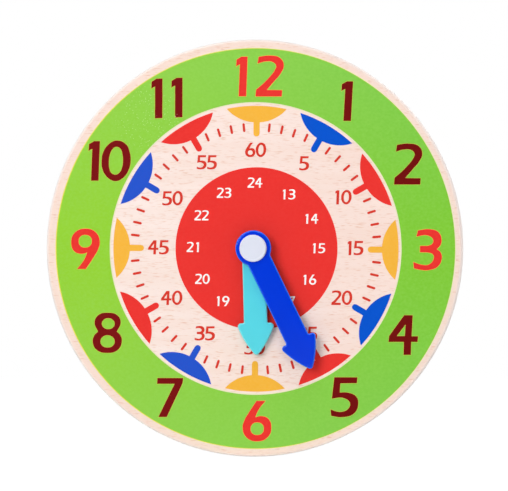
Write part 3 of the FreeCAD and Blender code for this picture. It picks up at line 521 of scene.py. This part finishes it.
def beech_veneer():
    """Beech veneer, sliced and sanded under a thin satin varnish: a pale pinkish ground, short darker ray
    flecks along the grain, wide faint bands of tone, and a warmer tone towards the rim, whose sanded
    arris is plain."""
    material, tree = new_material("beech_veneer_satin_varnish")
    place = add_node(tree, "ShaderNodeTexCoord").outputs["Object"]
    right = add_node(tree, "ShaderNodeSeparateXYZ", {"Vector": place}).outputs["X"]
    flat = add_node(tree, "ShaderNodeVectorMath", {0: place, 1: (1, 0, 1)}, operation="MULTIPLY").outputs[0]
    reach = add_node(tree, "ShaderNodeVectorMath", {0: flat}, operation="LENGTH").outputs["Value"]
    bands = grain(tree, "ShaderNodeTexNoise", 60, 5, Detail=3.0)
    arris_start, arris_end = 98.7 * MM, 99.7 * MM

    # Lighter at the left: painted light, falling from the left.
    tone = laid_over(tree, tint("wood"), tint("wood_right"), right, -60 * MM, 60 * MM)
    tone = laid_over(tree, tone, tint("wood_band"), bands, 0.35, 0.75, most=0.38)
    tone = laid_over(tree, tone, tint("wood_rim"), reach, 87 * MM, 98.4 * MM)
    tone = laid_over(tree, tone, tint("wood_arris"), reach, arris_start, arris_end)

    face = add_node(
        tree, "ShaderNodeMapRange", {"Value": reach, "From Min": arris_end, "From Max": arris_start}
    )
    flecks = add_node(
        tree, "ShaderNodeMath", {0: beech_flecks(tree), 1: face.outputs[0]}, operation="MULTIPLY"
    ).outputs[0]
    tone = laid_over(tree, tone, tint("wood_fleck"), flecks, 0.0, 1.0, most=0.6)
    rough = add_node(tree, "ShaderNodeMapRange", {"Value": flecks, "To Min": 0.42, "To Max": 0.54})
    pores = add_node(
        tree, "ShaderNodeBump", {"Height": flecks, "Strength": 0.12, "Distance": 0.04 * MM}, invert=True
    )
    varnish = add_node(tree, "ShaderNodeBsdfPrincipled", {
        "Base Color": tone, "Roughness": rough.outputs[0], "Specular IOR Level": 0.2,
        "Normal": pores.outputs[0],
    })
    add_node(tree, "ShaderNodeOutputMaterial", {"Surface": varnish.outputs[0]})
    return material


def pinholes(tree, ink, bare, right, up, reach, radius):
    """Pinholes about a worn spot on the board, up to reach from it, where the ink is thin or gone. All are
    in millimetres. The holes are a millimetre or two apart and have at most that radius."""
    place = add_node(tree, "ShaderNodeTexCoord").outputs["Object"]
    spot = (right * MM, -BOARD_FRONT, up * MM)
    away = add_node(tree, "ShaderNodeVectorMath", {0: place, 1: spot}, operation="DISTANCE").outputs["Value"]
    near = add_node(
        tree, "ShaderNodeMapRange", {"Value": away, "From Min": reach * MM, "From Max": reach * 0.7 * MM}
    ).outputs[0]
    cells = grain(tree, "ShaderNodeTexVoronoi", 1.0, 1.0)
    holes = add_node(
        tree, "ShaderNodeMapRange", {"Value": cells, "From Min": radius, "From Max": radius * 0.5}
    ).outputs[0]
    worn = add_node(tree, "ShaderNodeMath", {0: near, 1: holes}, operation="MULTIPLY").outputs[0]
    return laid_over(tree, ink, linear(bare), worn, 0.0, 1.0)


def screen_ink(name, ink, lighter, drift=None, ends=None, worn=None):
    """Screen-printed ink, cured to a satin film: nearly even, with a fine mottle from the mesh and the
    veneer's pores showing through as a slight relief. The mesh's own mottle, of about 0.2 mm, would not
    show, so it is drawn at 1.1 to 1.4 mm. With drift the tone changes from right to left within so many
    millimetres of the middle, and with ends it gains that much blue at the top and the bottom, where the
    squeegee left less ink. worn holds what pinholes needs."""
    material, tree = new_material(name)
    tone = tint(ink)
    if drift:
        place = add_node(tree, "ShaderNodeTexCoord").outputs["Object"]
        spot = add_node(tree, "ShaderNodeSeparateXYZ", {"Vector": place}).outputs
        tone = laid_over(tree, tone, tint(f"{ink}_left"), spot["X"], drift * MM, -drift * MM)
        if ends:
            height = add_node(tree, "ShaderNodeMath", {0: spot["Z"]}, operation="ABSOLUTE").outputs[0]
            tone = laid_over(tree, tone, (0.0, 0.0, ends, 1.0), height, 10 * MM, 85 * MM, blend="ADD")
    mottle = grain(tree, "ShaderNodeTexNoise", 1.4, 1.1, Detail=4.0)
    tone = laid_over(tree, tone, linear(lighter), mottle, 0.35, 0.75, most=0.25)
    if worn:
        tone = pinholes(tree, tone, *worn)
    flecks = beech_flecks(tree)
    pores = add_node(
        tree, "ShaderNodeBump", {"Height": flecks, "Strength": 0.3, "Distance": 0.02 * MM}, invert=True
    )
    film = add_node(tree, "ShaderNodeBsdfPrincipled", {
        "Base Color": tone, "Roughness": 0.42, "Specular IOR Level": 0.05, "Normal": pores.outputs[0],
    })
    add_node(tree, "ShaderNodeOutputMaterial", {"Surface": film.outputs[0]})
    return material


def moulded(name, plastic, roughness, texture=0.25, relief=0.06, gloss=0.5, glow=None, depth=None):
    """An injection moulding: an even dyed colour with a faint slow waviness of tone, and the fine relief
    of the mould's surface, whose cells are texture millimetres wide. With glow the rounded arrises are
    painted in that brighter colour, a painted highlight, and depth holds the shader's inputs for
    light under the skin."""
    material, tree = new_material(name)
    waves = grain(tree, "ShaderNodeTexNoise", 9, 9, Detail=1.0)
    tone = laid_over(tree, tint(plastic), darker(tint(plastic), 0.9), waves, 0.3, 0.75, most=0.3)
    if glow:
        normal = add_node(tree, "ShaderNodeTexCoord").outputs["Normal"]
        facing = add_node(tree, "ShaderNodeSeparateXYZ", {"Vector": normal}).outputs["Y"]
        facing = add_node(tree, "ShaderNodeMath", {0: facing}, operation="ABSOLUTE").outputs[0]
        # Painted highlight: the arrises, which turn away from the dial's normal, take the brighter colour.
        tone = laid_over(tree, tone, linear(glow), facing, 0.98, 0.75)
    skin = grain(tree, "ShaderNodeTexNoise", texture, texture, Detail=2.0)
    bump = add_node(tree, "ShaderNodeBump", {"Height": skin, "Strength": relief, "Distance": 0.05 * MM})
    shell = add_node(tree, "ShaderNodeBsdfPrincipled", {
        "Base Color": tone, "Roughness": roughness, "Specular IOR Level": gloss, "Normal": bump.outputs[0],
        **(depth or {}),
    })
    add_node(tree, "ShaderNodeOutputMaterial", {"Surface": shell.outputs[0]})
    return material


def zinc_plated_steel():
    """Zinc-plated steel, drawn and tumbled: a bright grey metal with soft cloudy variation in its gloss."""
    material, tree = new_material("zinc_plated_steel")
    cloud = grain(tree, "ShaderNodeTexNoise", 0.8, 0.8, Detail=3.0)
    tone = laid_over(tree, tint("steel"), darker(tint("steel"), 0.8), cloud, 0.3, 0.7)
    rough = add_node(tree, "ShaderNodeMapRange", {"Value": cloud, "To Min": 0.22, "To Max": 0.42})
    zinc = add_node(tree, "ShaderNodeBsdfPrincipled", {
        "Base Color": tone, "Metallic": 1.0, "Roughness": rough.outputs[0],
    })
    add_node(tree, "ShaderNodeOutputMaterial", {"Surface": zinc.outputs[0]})
    return material


FINISHES = {
    "beech": beech_veneer,
    # The hour ring's opaque ink, lighter and yellower at the left, which is painted light falling from the
    # left, paler at the top and the bottom, and worn through to a light green in pinholes at the upper left.
    "green": lambda: screen_ink(
        "screen_ink_green", "green", "A2DE66", drift=75, ends=0.035, worn=("CFEBA0", -50, 62, 19, 0.2)
    ),
    # A thin cream film that reads as a bare line along the ring, and the yellow under the green.
    "edge_line": lambda: screen_ink("screen_ink_pale_line", "edge_line", "FBF0CE"),
    "underprint": lambda: screen_ink("screen_ink_yellow_underprint", "underprint", "F4E68C"),
    # The same red, full on the disc and the markers, and duller where it is thin on the bare veneer.
    "red": lambda: screen_ink("screen_ink_red", "red", "F34641"),
    "thin_red": lambda: screen_ink("screen_ink_thin_red", "thin_red", "E2473C"),
    # Dark red over green, lighter at the left, which is painted light falling from the left, and worn
    # through to the veneer's colour in the feet of the 11.
    "maroon": lambda: screen_ink(
        "screen_ink_maroon", "maroon", "80100F", drift=60, worn=("D8C8BC", -41.5, 58, 8, 0.36)
    ),
    # Full inks: yellow and blue on the bare veneer, the blue duller at the left, and white over the red.
    "yellow": lambda: screen_ink("screen_ink_yellow", "yellow", "FBC65E"),
    "blue": lambda: screen_ink("screen_ink_blue", "blue", "0A5CDA", drift=30),
    "white": lambda: screen_ink("screen_ink_white", "white", "FFFFFF"),
    # ABS from a polished mould: glossy, with a painted highlight in a brighter colour on its edges.
    "minute_hand": lambda: moulded("moulded_abs_blue", "minute_hand", 0.1, gloss=0.3, glow="0070FA"),
    "hour_hand": lambda: moulded("moulded_abs_turquoise", "hour_hand", 0.1, gloss=0.3, glow="7CEBF0"),
    # ABS from a plain mould: a satin face.
    "cap": lambda: moulded("moulded_abs_white_cap", "cap", 0.3, gloss=0.3),
    # ABS from a spark-eroded mould: matt and finely pitted. The real pits, of about 0.05 mm, would not
    # show, so they are drawn at 0.18 mm.
    "case": lambda: moulded("spark_textured_abs_case", "case", 0.5, texture=0.18, relief=0.5),
    "knob": lambda: moulded("spark_textured_abs_knob", "minute_hand", 0.45, texture=0.18, relief=0.4),
    # Natural acetal, moulded: milky white with a waxy gloss and a little light under the skin.
    "acetal": lambda: moulded(
        "natural_acetal_moulded", "acetal", 0.38, texture=0.6, relief=0.04,
        depth={"Subsurface Weight": 0.15, "Subsurface Scale": 1.0 * MM},
    ),
    "steel": zinc_plated_steel,
}
FINISHED = {}


def finish(name):
    """The material of that name, made when it is first asked for."""
    if name not in FINISHED:
        FINISHED[name] = FINISHES[name]()
    return FINISHED[name]


# ------------------------------------------------------------------ pieces

BUSH_LAP = 1.0 * MM  # how far the bush's flange laps over the edge of the board's hole
DISC_HOLE = 5.9 * MM  # the hole in the disc's print, under the bush's flange
LINE_LAP = 0.3 * MM  # how far the pale lines reach under the green
UNDERPRINT_LAP = 1.0 * MM  # how far the yellow reaches under the green
NUMERAL_SWELL, OUTLINE_SWELL = 0.08 * MM, 0.2 * MM  # how far each is wider than the digits drawn above
FINE_STEPS = 256  # steps round the large circles

# How many ink thicknesses each layer's face stands off the veneer.
LINE_LAYER, UNDERPRINT_LAYER, GROUND_LAYER, OUTLINE_LAYER, TOP_LAYER = 0.25, 0.6, 1.0, 1.5, 2.0


class CLOCK_OT_board(bpy.types.Operator):
    """Turns the dial board with a rounded rim"""

    bl_idname = "clock.board"
    bl_label = "Dial board"

    def execute(self, context):
        bore = radius_of("dial_bush") - BUSH_LAP
        arris = sizes().board_round
        mesh = turned(
            "dial_board_veneered",
            [
                (bore, BOARD_BACK), (BOARD_RADIUS, BOARD_BACK),
                (BOARD_RADIUS, BOARD_FRONT), (bore, BOARD_FRONT),
            ],
            [(BOARD_RADIUS, BOARD_BACK, arris), (BOARD_RADIUS, BOARD_FRONT, arris)],
            steps=FINE_STEPS,
        )
        board = keep(mesh, "root", "beech")
        flat_faced(board)
        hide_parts("dial_board")
        return {"FINISHED"}


def ring(name, inner, outer, right, up, layer, finish_name):
    """Prints a flat ring."""
    front = BOARD_FRONT + sizes().ink_rise * layer
    back = BOARD_FRONT - INK_ROOT
    mesh = turned(name, [(inner, back), (outer, back), (outer, front), (inner, front)], steps=FINE_STEPS)
    mesh.transform(Matrix.Translation((right, 0, up)))
    return keep(mesh, "root", finish_name)


class CLOCK_OT_ground_print(bpy.types.Operator):
    """Prints the hour ring, its pale edge lines and the 24-hour disc"""

    bl_idname = "clock.ground_print"
    bl_label = "Ring and disc"

    def execute(self, context):
        size = sizes()
        inner, outer, right, up = size.ring_inner, size.ring_outer, size.ring_right, size.ring_up
        ring("hour_ring", inner, outer, right, up, GROUND_LAYER, "green")
        for name, low, high in (
            ("ring_line_inner", inner - size.ring_line, inner + LINE_LAP),
            ("ring_line_outer", outer - LINE_LAP, outer + size.ring_line),
        ):
            ring(name, low, high, right, up, LINE_LAYER, "edge_line")
        ring(
            "ring_underprint", outer - UNDERPRINT_LAP, outer + size.underprint_reach,
            right + size.underprint_right, up, UNDERPRINT_LAYER, "underprint",
        )
        ring(
            "day_disc", DISC_HOLE, size.centre_radius, size.disc_right, size.disc_up,
            GROUND_LAYER, "red",
        )
        return {"FINISHED"}


def marker_outline():
    """A five-minute marker at twelve: a lens whose outer edge follows the ring, with a stem inwards."""
    size = sizes()
    reach = (size.lens_base**2 + size.lens_centre**2 - size.lens_radius**2) / (2 * size.lens_centre)
    half = math.sqrt(size.lens_base**2 - reach**2)
    base_angle = math.degrees(math.asin(half / size.lens_base))
    low = math.degrees(math.asin(half / size.lens_radius))
    stem = size.stem_width / 2
    root = math.degrees(math.asin(stem / size.lens_radius))
    curve = ((0.0, size.lens_centre), size.lens_radius)
    base = arc((0.0, 0.0), size.lens_base, -base_angle, base_angle, steps=6, sharp_ends=(True, True))
    right_curve = list(arc(*curve, 180 - low, 180 - root, steps=5, sharp_ends=(False, True)))[1:]
    stem_end = arc((0.0, size.stem_end + stem), stem, 90, 270, steps=4, sharp_ends=(True, True))
    left_curve = list(arc(*curve, 180 + root, 180 + low, steps=5, sharp_ends=(True, False)))[:-1]
    return [*base, *right_curve, *stem_end, *left_curve]


def tick_outline():
    """A minute tick at twelve: a short bar with round ends."""
    size = sizes()
    half = size.tick_width / 2
    outer_end = arc((0.0, size.tick_outer - half), half, -90, 90, steps=4, sharp_ends=(True, True))
    inner_end = arc((0.0, size.tick_inner + half), half, 90, 270, steps=4, sharp_ends=(True, True))
    return [*outer_end, *inner_end]


def about_dial(outline, minutes):
    """The drawings of one outline at each of these minutes of the dial."""
    size = sizes()
    return [
        ([(outline, False)], size.marker_right, size.marker_up, math.radians(6 * minute) + size.print_turn)
        for minute in minutes
    ]


class CLOCK_OT_markers(bpy.types.Operator):
    """Prints the twelve five-minute markers and the minute ticks"""

    bl_idname = "clock.markers"
    bl_label = "Markers and ticks"

    def execute(self, context):
        for first, name in ((0, "yellow"), (5, "blue"), (10, "red")):
            drawings = about_dial(marker_outline(), range(first, 60, 15))
            printed(f"markers_{name}", drawings, name)
        between = [minute for minute in range(60) if minute % 5]
        printed("minute_ticks", about_dial(tick_outline(), between), "thin_red", fineness=2)
        return {"FINISHED"}


def digit_contours(digit, scale=1.0):
    """A digit's outlines, each with whether it is a hole. A nine is a six turned round."""
    source = "6" if digit == "9" else digit
    contours = []
    for number, text in enumerate(DIGITS[source]):
        points = list(points_of(text, MM * scale))
        if digit == "9":
            wide, high = DIGIT_WIDTH["6"] * MM * scale, DIGIT_HEIGHT * MM * scale
            points = [(wide - x, high - y, sharp) for x, y, sharp in points]
        contours.append((points, number > 0))
    return contours


def numerals(entries, height, beside_one):
    """The drawings of small numerals, each with its digits side by side about its middle. A one keeps
    more room beside it."""
    scale = height / DIGIT_HEIGHT
    for text, middle, foot in entries:
        widths = [DIGIT_WIDTH[digit] * scale for digit in text]
        gaps = [DIGIT_GAP + beside_one * (a + b).count("1") for a, b in zip(text, text[1:])] + [0.0]
        start = middle - (sum(widths) + sum(gaps)) / 2
        for digit, width, gap in zip(text, widths, gaps):
            yield digit_contours(digit, scale), start * MM, foot * MM, 0.0
            start += width + gap


class CLOCK_OT_hour_numerals(bpy.types.Operator):
    """Prints the hour numerals, each on a slightly wider yellow one that shows as a thin outline"""

    bl_idname = "clock.hour_numerals"
    bl_label = "Hour numerals"

    def execute(self, context):
        for name, digits in HOUR_DIGITS.items():
            drawings = [
                (digit_contours(digit), right * MM, up * MM, -math.radians(turn))
                for digit, right, up, turn in digits
            ]
            printed(
                f"hour_numerals_{name}", drawings, name,
                swell=NUMERAL_SWELL, layer=TOP_LAYER,
            )
            printed(
                f"hour_outlines_{name}", drawings, "underprint",
                swell=OUTLINE_SWELL, layer=OUTLINE_LAYER,
            )
        return {"FINISHED"}


class CLOCK_OT_minute_numerals(bpy.types.Operator):
    """Prints the minute numerals on the bare veneer"""

    bl_idname = "clock.minute_numerals"
    bl_label = "Minute numerals"

    def execute(self, context):
        drawings = numerals(MINUTE_NUMERALS, MINUTE_HEIGHT, beside_one=0.65)
        printed("minute_numerals", drawings, "thin_red", swell=0.01 * MM)
        return {"FINISHED"}


class CLOCK_OT_day_numerals(bpy.types.Operator):
    """Prints the 24-hour numerals on the centre disc"""

    bl_idname = "clock.day_numerals"
    bl_label = "24-hour numerals"

    def execute(self, context):
        drawings = numerals(DAY_NUMERALS, DAY_HEIGHT, beside_one=1.0)
        printed("day_numerals", drawings, "white", swell=-0.02 * MM, layer=TOP_LAYER)
        return {"FINISHED"}


def hand_outline(tip, shank, head, head_length, hub):
    """A hand pointing at twelve, in metres: a round hub, a straight shank and an arrow head with bowed
    sides, all its corners rounded. The sizes are in millimetres."""
    half, wide, radius, barb = shank / 2, head / 2, hub / 2, tip - head_length
    neck = math.sqrt(radius**2 - half**2)
    chord = math.hypot(wide, head_length)
    lean = math.degrees(math.atan2(wide, head_length))
    sweep = math.degrees(math.asin(chord / 2 / HEAD_SIDE_RADIUS))
    away = math.sqrt(HEAD_SIDE_RADIUS**2 - chord**2 / 4)
    across = (math.cos(math.radians(lean)) * away, math.sin(math.radians(lean)) * away)
    middle = (wide / 2, barb + head_length / 2)
    right_centre = (middle[0] - across[0], middle[1] - across[1])
    left_centre = (-right_centre[0], right_centre[1])
    facing = 90 - lean
    right_side = arc(right_centre, HEAD_SIDE_RADIUS, facing + sweep, facing - sweep, steps=24)
    left_side = list(arc(left_centre, HEAD_SIDE_RADIUS, sweep - facing, -sweep - facing, steps=24))[1:]
    open_angle = math.degrees(math.atan2(half, neck))
    round_hub = list(arc((0.0, 0.0), radius, -open_angle, open_angle - 360, steps=64))[:-1]
    outline = [(half, neck), (half, barb), *right_side, *left_side, (-half, barb), *round_hub]
    corners = (
        (half, neck, NECK_REACH), (-half, neck, NECK_REACH),
        (half, barb, THROAT_REACH), (-half, barb, THROAT_REACH),
        (wide, barb, BARB_REACH), (-wide, barb, BARB_REACH),
        (0.0, tip, TIP_REACH),
    )
    return [(x * MM, y * MM) for x, y in rounded([point[:2] for point in outline], corners)]


class CLOCK_OT_hands(bpy.types.Operator):
    """Moulds the two hands"""

    bl_idname = "clock.hands"
    bl_label = "Hands"

    def execute(self, context):
        for body, (*shape, angle) in HANDS.items():
            node = f"{body}_hand"
            back, front = depths_of(node)
            outline = hand_outline(*shape)
            mesh = plate(f"{node}_moulding", outline, back, front, sizes().hand_round, math.radians(angle))
            hand = keep(mesh, body, node)
            flat_faced(hand)
            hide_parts(node)
        return {"FINISHED"}


class CLOCK_OT_centre_cap(bpy.types.Operator):
    """Turns the centre cap: a flat button with a rounded edge and a slightly sunk face"""

    bl_idname = "clock.centre_cap"
    bl_label = "Centre cap"

    def execute(self, context):
        back, front = depths_of("centre_cap")
        radius = radius_of("centre_cap")
        size = sizes()
        inside, sunk = radius - size.cap_rim, size.cap_sunk
        mesh = turned(
            "centre_cap_moulding",
            [
                (0.0, back), (radius, back), (radius, front), (inside, front),
                (inside - sunk, front - sunk), (0.0, front - sunk),
            ],
            [(radius, front, size.cap_round)],
        )
        cap = keep(mesh, "minute", "cap")
        flat_faced(cap)
        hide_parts("centre_cap")
        return {"FINISHED"}


NODE_FINISHES = {
    "case": ("gear_housing", "housing_cover"),
    "knob": ("setting_knob",),
    "acetal": (
        "dial_bush", "face_washer", "hand_spacer", "thrust_washer", "cannon_pinion", "minute_wheel",
        "hour_wheel",
    ),
    "steel": (
        "idler_stud", "housing_screws", "cover_screws", "minute_arbor", "spring_washer", "knob_screw",
    ),
}


class CLOCK_OT_works(bpy.types.Operator):
    """Gives the case, the knob, the gears and the screws their finishes"""

    bl_idname = "clock.works"
    bl_label = "Case and motion work"

    def execute(self, context):
        for name, nodes in NODE_FINISHES.items():
            for node in nodes:
                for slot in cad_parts[node].material_slots:
                    slot.material = finish(name)
        return {"FINISHED"}


# ------------------------------------------------------------------ stage

CAMERA_RIGHT, CAMERA_ABOVE = 4.3, 0.5  # degrees from the dial's normal
CAMERA_DISTANCE = 4.0
FRAME_WIDTH = 243.9 * MM  # how much the frame takes in at the dial
SENSOR_WIDTH = 36.0
LOOK_AT = Vector((-0.41 * MM, -22.7 * MM, 1.25 * MM))
FLOOR_RADIUS = 1.5
FLOOR_GAP = 0.3 * MM
# How white the paper glows to the camera, and how much of it is that glow: the rest keeps the shadow.
FLOOR_GLOW, GLOW_SHARE = 1.12, 0.85

# Degrees to the right of the dial's normal and above it, size in metres and power in watts.
LIGHTS = {
    "key_light": (-27, 18, 1.2, 25.7),
    "top_light": (0, 70, 1.6, 19.7),
    "front_light": (8, 22, 0.4, 3.9),
    "right_light": (70, 12, 0.8, 4.3),
    "side_light": (102, 0, 0.4, 12.0),
    "back_light": (155, 30, 1.0, 11.0),
}
LIGHT_DISTANCE = 2.2
SURROUND_LIGHT = 0.05  # the world's light on the clock
DIM_ROOM = 0.05  # what mirrors see in front of the clock


def direction(right, above):
    """The direction that lies so many degrees to the right of the dial's normal and above it."""
    turn, rise = math.radians(right), math.radians(above)
    return Vector((math.sin(turn) * math.cos(rise), -math.cos(turn) * math.cos(rise), math.sin(rise)))


def place_camera(scene):
    """Stands the camera in front of the dial, a little to its right, with a long lens."""
    camera = bpy.data.cameras.new("camera")
    camera.sensor_width = SENSOR_WIDTH
    camera.lens = SENSOR_WIDTH * CAMERA_DISTANCE / FRAME_WIDTH
    camera.clip_end = 50.0
    holder = bpy.data.objects.new("camera", camera)
    scene.collection.objects.link(holder)
    back = direction(CAMERA_RIGHT, CAMERA_ABOVE)
    holder.location = LOOK_AT + back * CAMERA_DISTANCE
    holder.rotation_euler = (-back).to_track_quat("-Z", "Y").to_euler()
    scene.camera = holder


def hang_light(scene, name, right, above, size, power):
    """A square soft box that faces the middle of the dial."""
    lamp = bpy.data.lights.new(name, "AREA")
    lamp.shape = "SQUARE"
    lamp.size = size
    lamp.energy = power
    holder = bpy.data.objects.new(name, lamp)
    scene.collection.objects.link(holder)
    holder.location = direction(right, above) * LIGHT_DISTANCE
    holder.rotation_euler = holder.location.to_track_quat("Z", "Y").to_euler()


def matt_white_paper():
    """Matt white paper: it shows white to the camera and keeps the shadow of the clock."""
    material, tree = new_material("matt_white_paper")
    paper = add_node(tree, "ShaderNodeBsdfDiffuse", {"Color": linear("F4F4F4")})
    glow = add_node(tree, "ShaderNodeEmission", {"Color": (1, 1, 1, 1), "Strength": FLOOR_GLOW})
    ray = add_node(tree, "ShaderNodeLightPath").outputs["Is Camera Ray"]
    share = add_node(tree, "ShaderNodeMath", {0: ray, 1: GLOW_SHARE}, operation="MULTIPLY").outputs[0]
    mix = add_node(tree, "ShaderNodeMixShader", {0: share, 1: paper.outputs[0], 2: glow.outputs[0]})
    add_node(tree, "ShaderNodeOutputMaterial", {"Surface": mix.outputs[0]})
    return material


def lay_floor(scene):
    """A round sheet of paper just under the board."""
    bm = bmesh.new()
    bmesh.ops.create_circle(bm, cap_ends=True, segments=96, radius=FLOOR_RADIUS)
    bmesh.ops.translate(bm, verts=bm.verts, vec=(0, 0, CAD_BOX[0][2] - FLOOR_GAP))
    mesh = mesh_of(bm, "floor")
    mesh.materials.append(matt_white_paper())
    floor = bpy.data.objects.new("floor", mesh)
    scene.collection.objects.link(floor)
    floor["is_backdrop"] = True


def light_world(scene):
    """A soft even surround. The camera sees it white, and mirrors see it white behind the clock and as a
    dim room in front of it."""
    world = bpy.data.worlds.new("studio")
    scene.world = world
    world.use_nodes = True
    tree = world.node_tree
    tree.nodes.clear()
    path = add_node(tree, "ShaderNodeLightPath").outputs
    seen = path["Is Camera Ray"]
    for ray in ("Is Glossy Ray", "Is Transmission Ray"):
        seen = add_node(tree, "ShaderNodeMath", {0: seen, 1: path[ray]}, operation="MAXIMUM").outputs[0]
    surround = add_node(tree, "ShaderNodeBackground", {"Color": (1, 1, 1, 1), "Strength": SURROUND_LIGHT})
    way = add_node(tree, "ShaderNodeTexCoord").outputs["Generated"]
    behind = add_node(tree, "ShaderNodeSeparateXYZ", {"Vector": way}).outputs["Y"]
    room = add_node(tree, "ShaderNodeMapRange", {"Value": behind, "From Min": -0.3, "From Max": 0.1})
    bright = room.outputs[0]
    for least in (path["Is Camera Ray"], DIM_ROOM):
        bright = add_node(tree, "ShaderNodeMath", {0: bright, 1: least}, operation="MAXIMUM").outputs[0]
    backdrop = add_node(tree, "ShaderNodeBackground", {"Color": (1, 1, 1, 1), "Strength": bright})
    mix = add_node(tree, "ShaderNodeMixShader", {0: seen, 1: surround.outputs[0], 2: backdrop.outputs[0]})
    add_node(tree, "ShaderNodeOutputWorld", {"Surface": mix.outputs[0]})


class CLOCK_OT_stage(bpy.types.Operator):
    """Lays the floor and sets the light and the camera"""

    bl_idname = "clock.stage"
    bl_label = "Stage"

    def execute(self, context):
        scene = context.scene
        scene.view_settings.view_transform = "Standard"
        place_camera(scene)
        lay_floor(scene)
        light_world(scene)
        for name, light in LIGHTS.items():
            hang_light(scene, name, *light)
        return {"FINISHED"}


# ------------------------------------------------------------------ the add-on

STEPS = (
    CLOCK_OT_stage, CLOCK_OT_board, CLOCK_OT_ground_print, CLOCK_OT_markers, CLOCK_OT_hour_numerals,
    CLOCK_OT_minute_numerals, CLOCK_OT_day_numerals, CLOCK_OT_hands, CLOCK_OT_centre_cap, CLOCK_OT_works,
)


class CLOCK_PT_panel(bpy.types.Panel):
    """The clock's pieces, sizes and colours"""

    bl_idname = "CLOCK_PT_panel"
    bl_label = "Teaching clock"
    bl_space_type = "VIEW_3D"
    bl_region_type = "UI"
    bl_category = "Clock"

    def draw(self, context):
        for step in STEPS:
            self.layout.operator(step.bl_idname)
        for group in (context.scene.clock_sizes, context.scene.clock_colours):
            for name in group.__annotations__:
                self.layout.prop(group, name)


CLASSES = (ClockSizes, ClockColours) + STEPS + (CLOCK_PT_panel,)


def register():
    for each in CLASSES:
        bpy.utils.register_class(each)
    bpy.types.Scene.clock_sizes = PointerProperty(type=ClockSizes)
    bpy.types.Scene.clock_colours = PointerProperty(type=ClockColours)


def unregister():
    del bpy.types.Scene.clock_colours
    del bpy.types.Scene.clock_sizes
    for each in reversed(CLASSES):
        bpy.utils.unregister_class(each)


def main():
    """Makes the clock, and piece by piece."""
    register()
    bpy.ops.clock.stage()
    bpy.ops.clock.board()
    bpy.ops.clock.ground_print()
    bpy.ops.clock.markers()
    bpy.ops.clock.hour_numerals()
    bpy.ops.clock.minute_numerals()
    bpy.ops.clock.day_numerals()
    bpy.ops.clock.hands()
    bpy.ops.clock.centre_cap()
    bpy.ops.clock.works()
    box_of = lambda box: [list(corner) for corner in box]
    {"cad": box_of(CAD_BOX), "visual": box_of(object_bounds())}


if __name__ == "__main__":
    main()
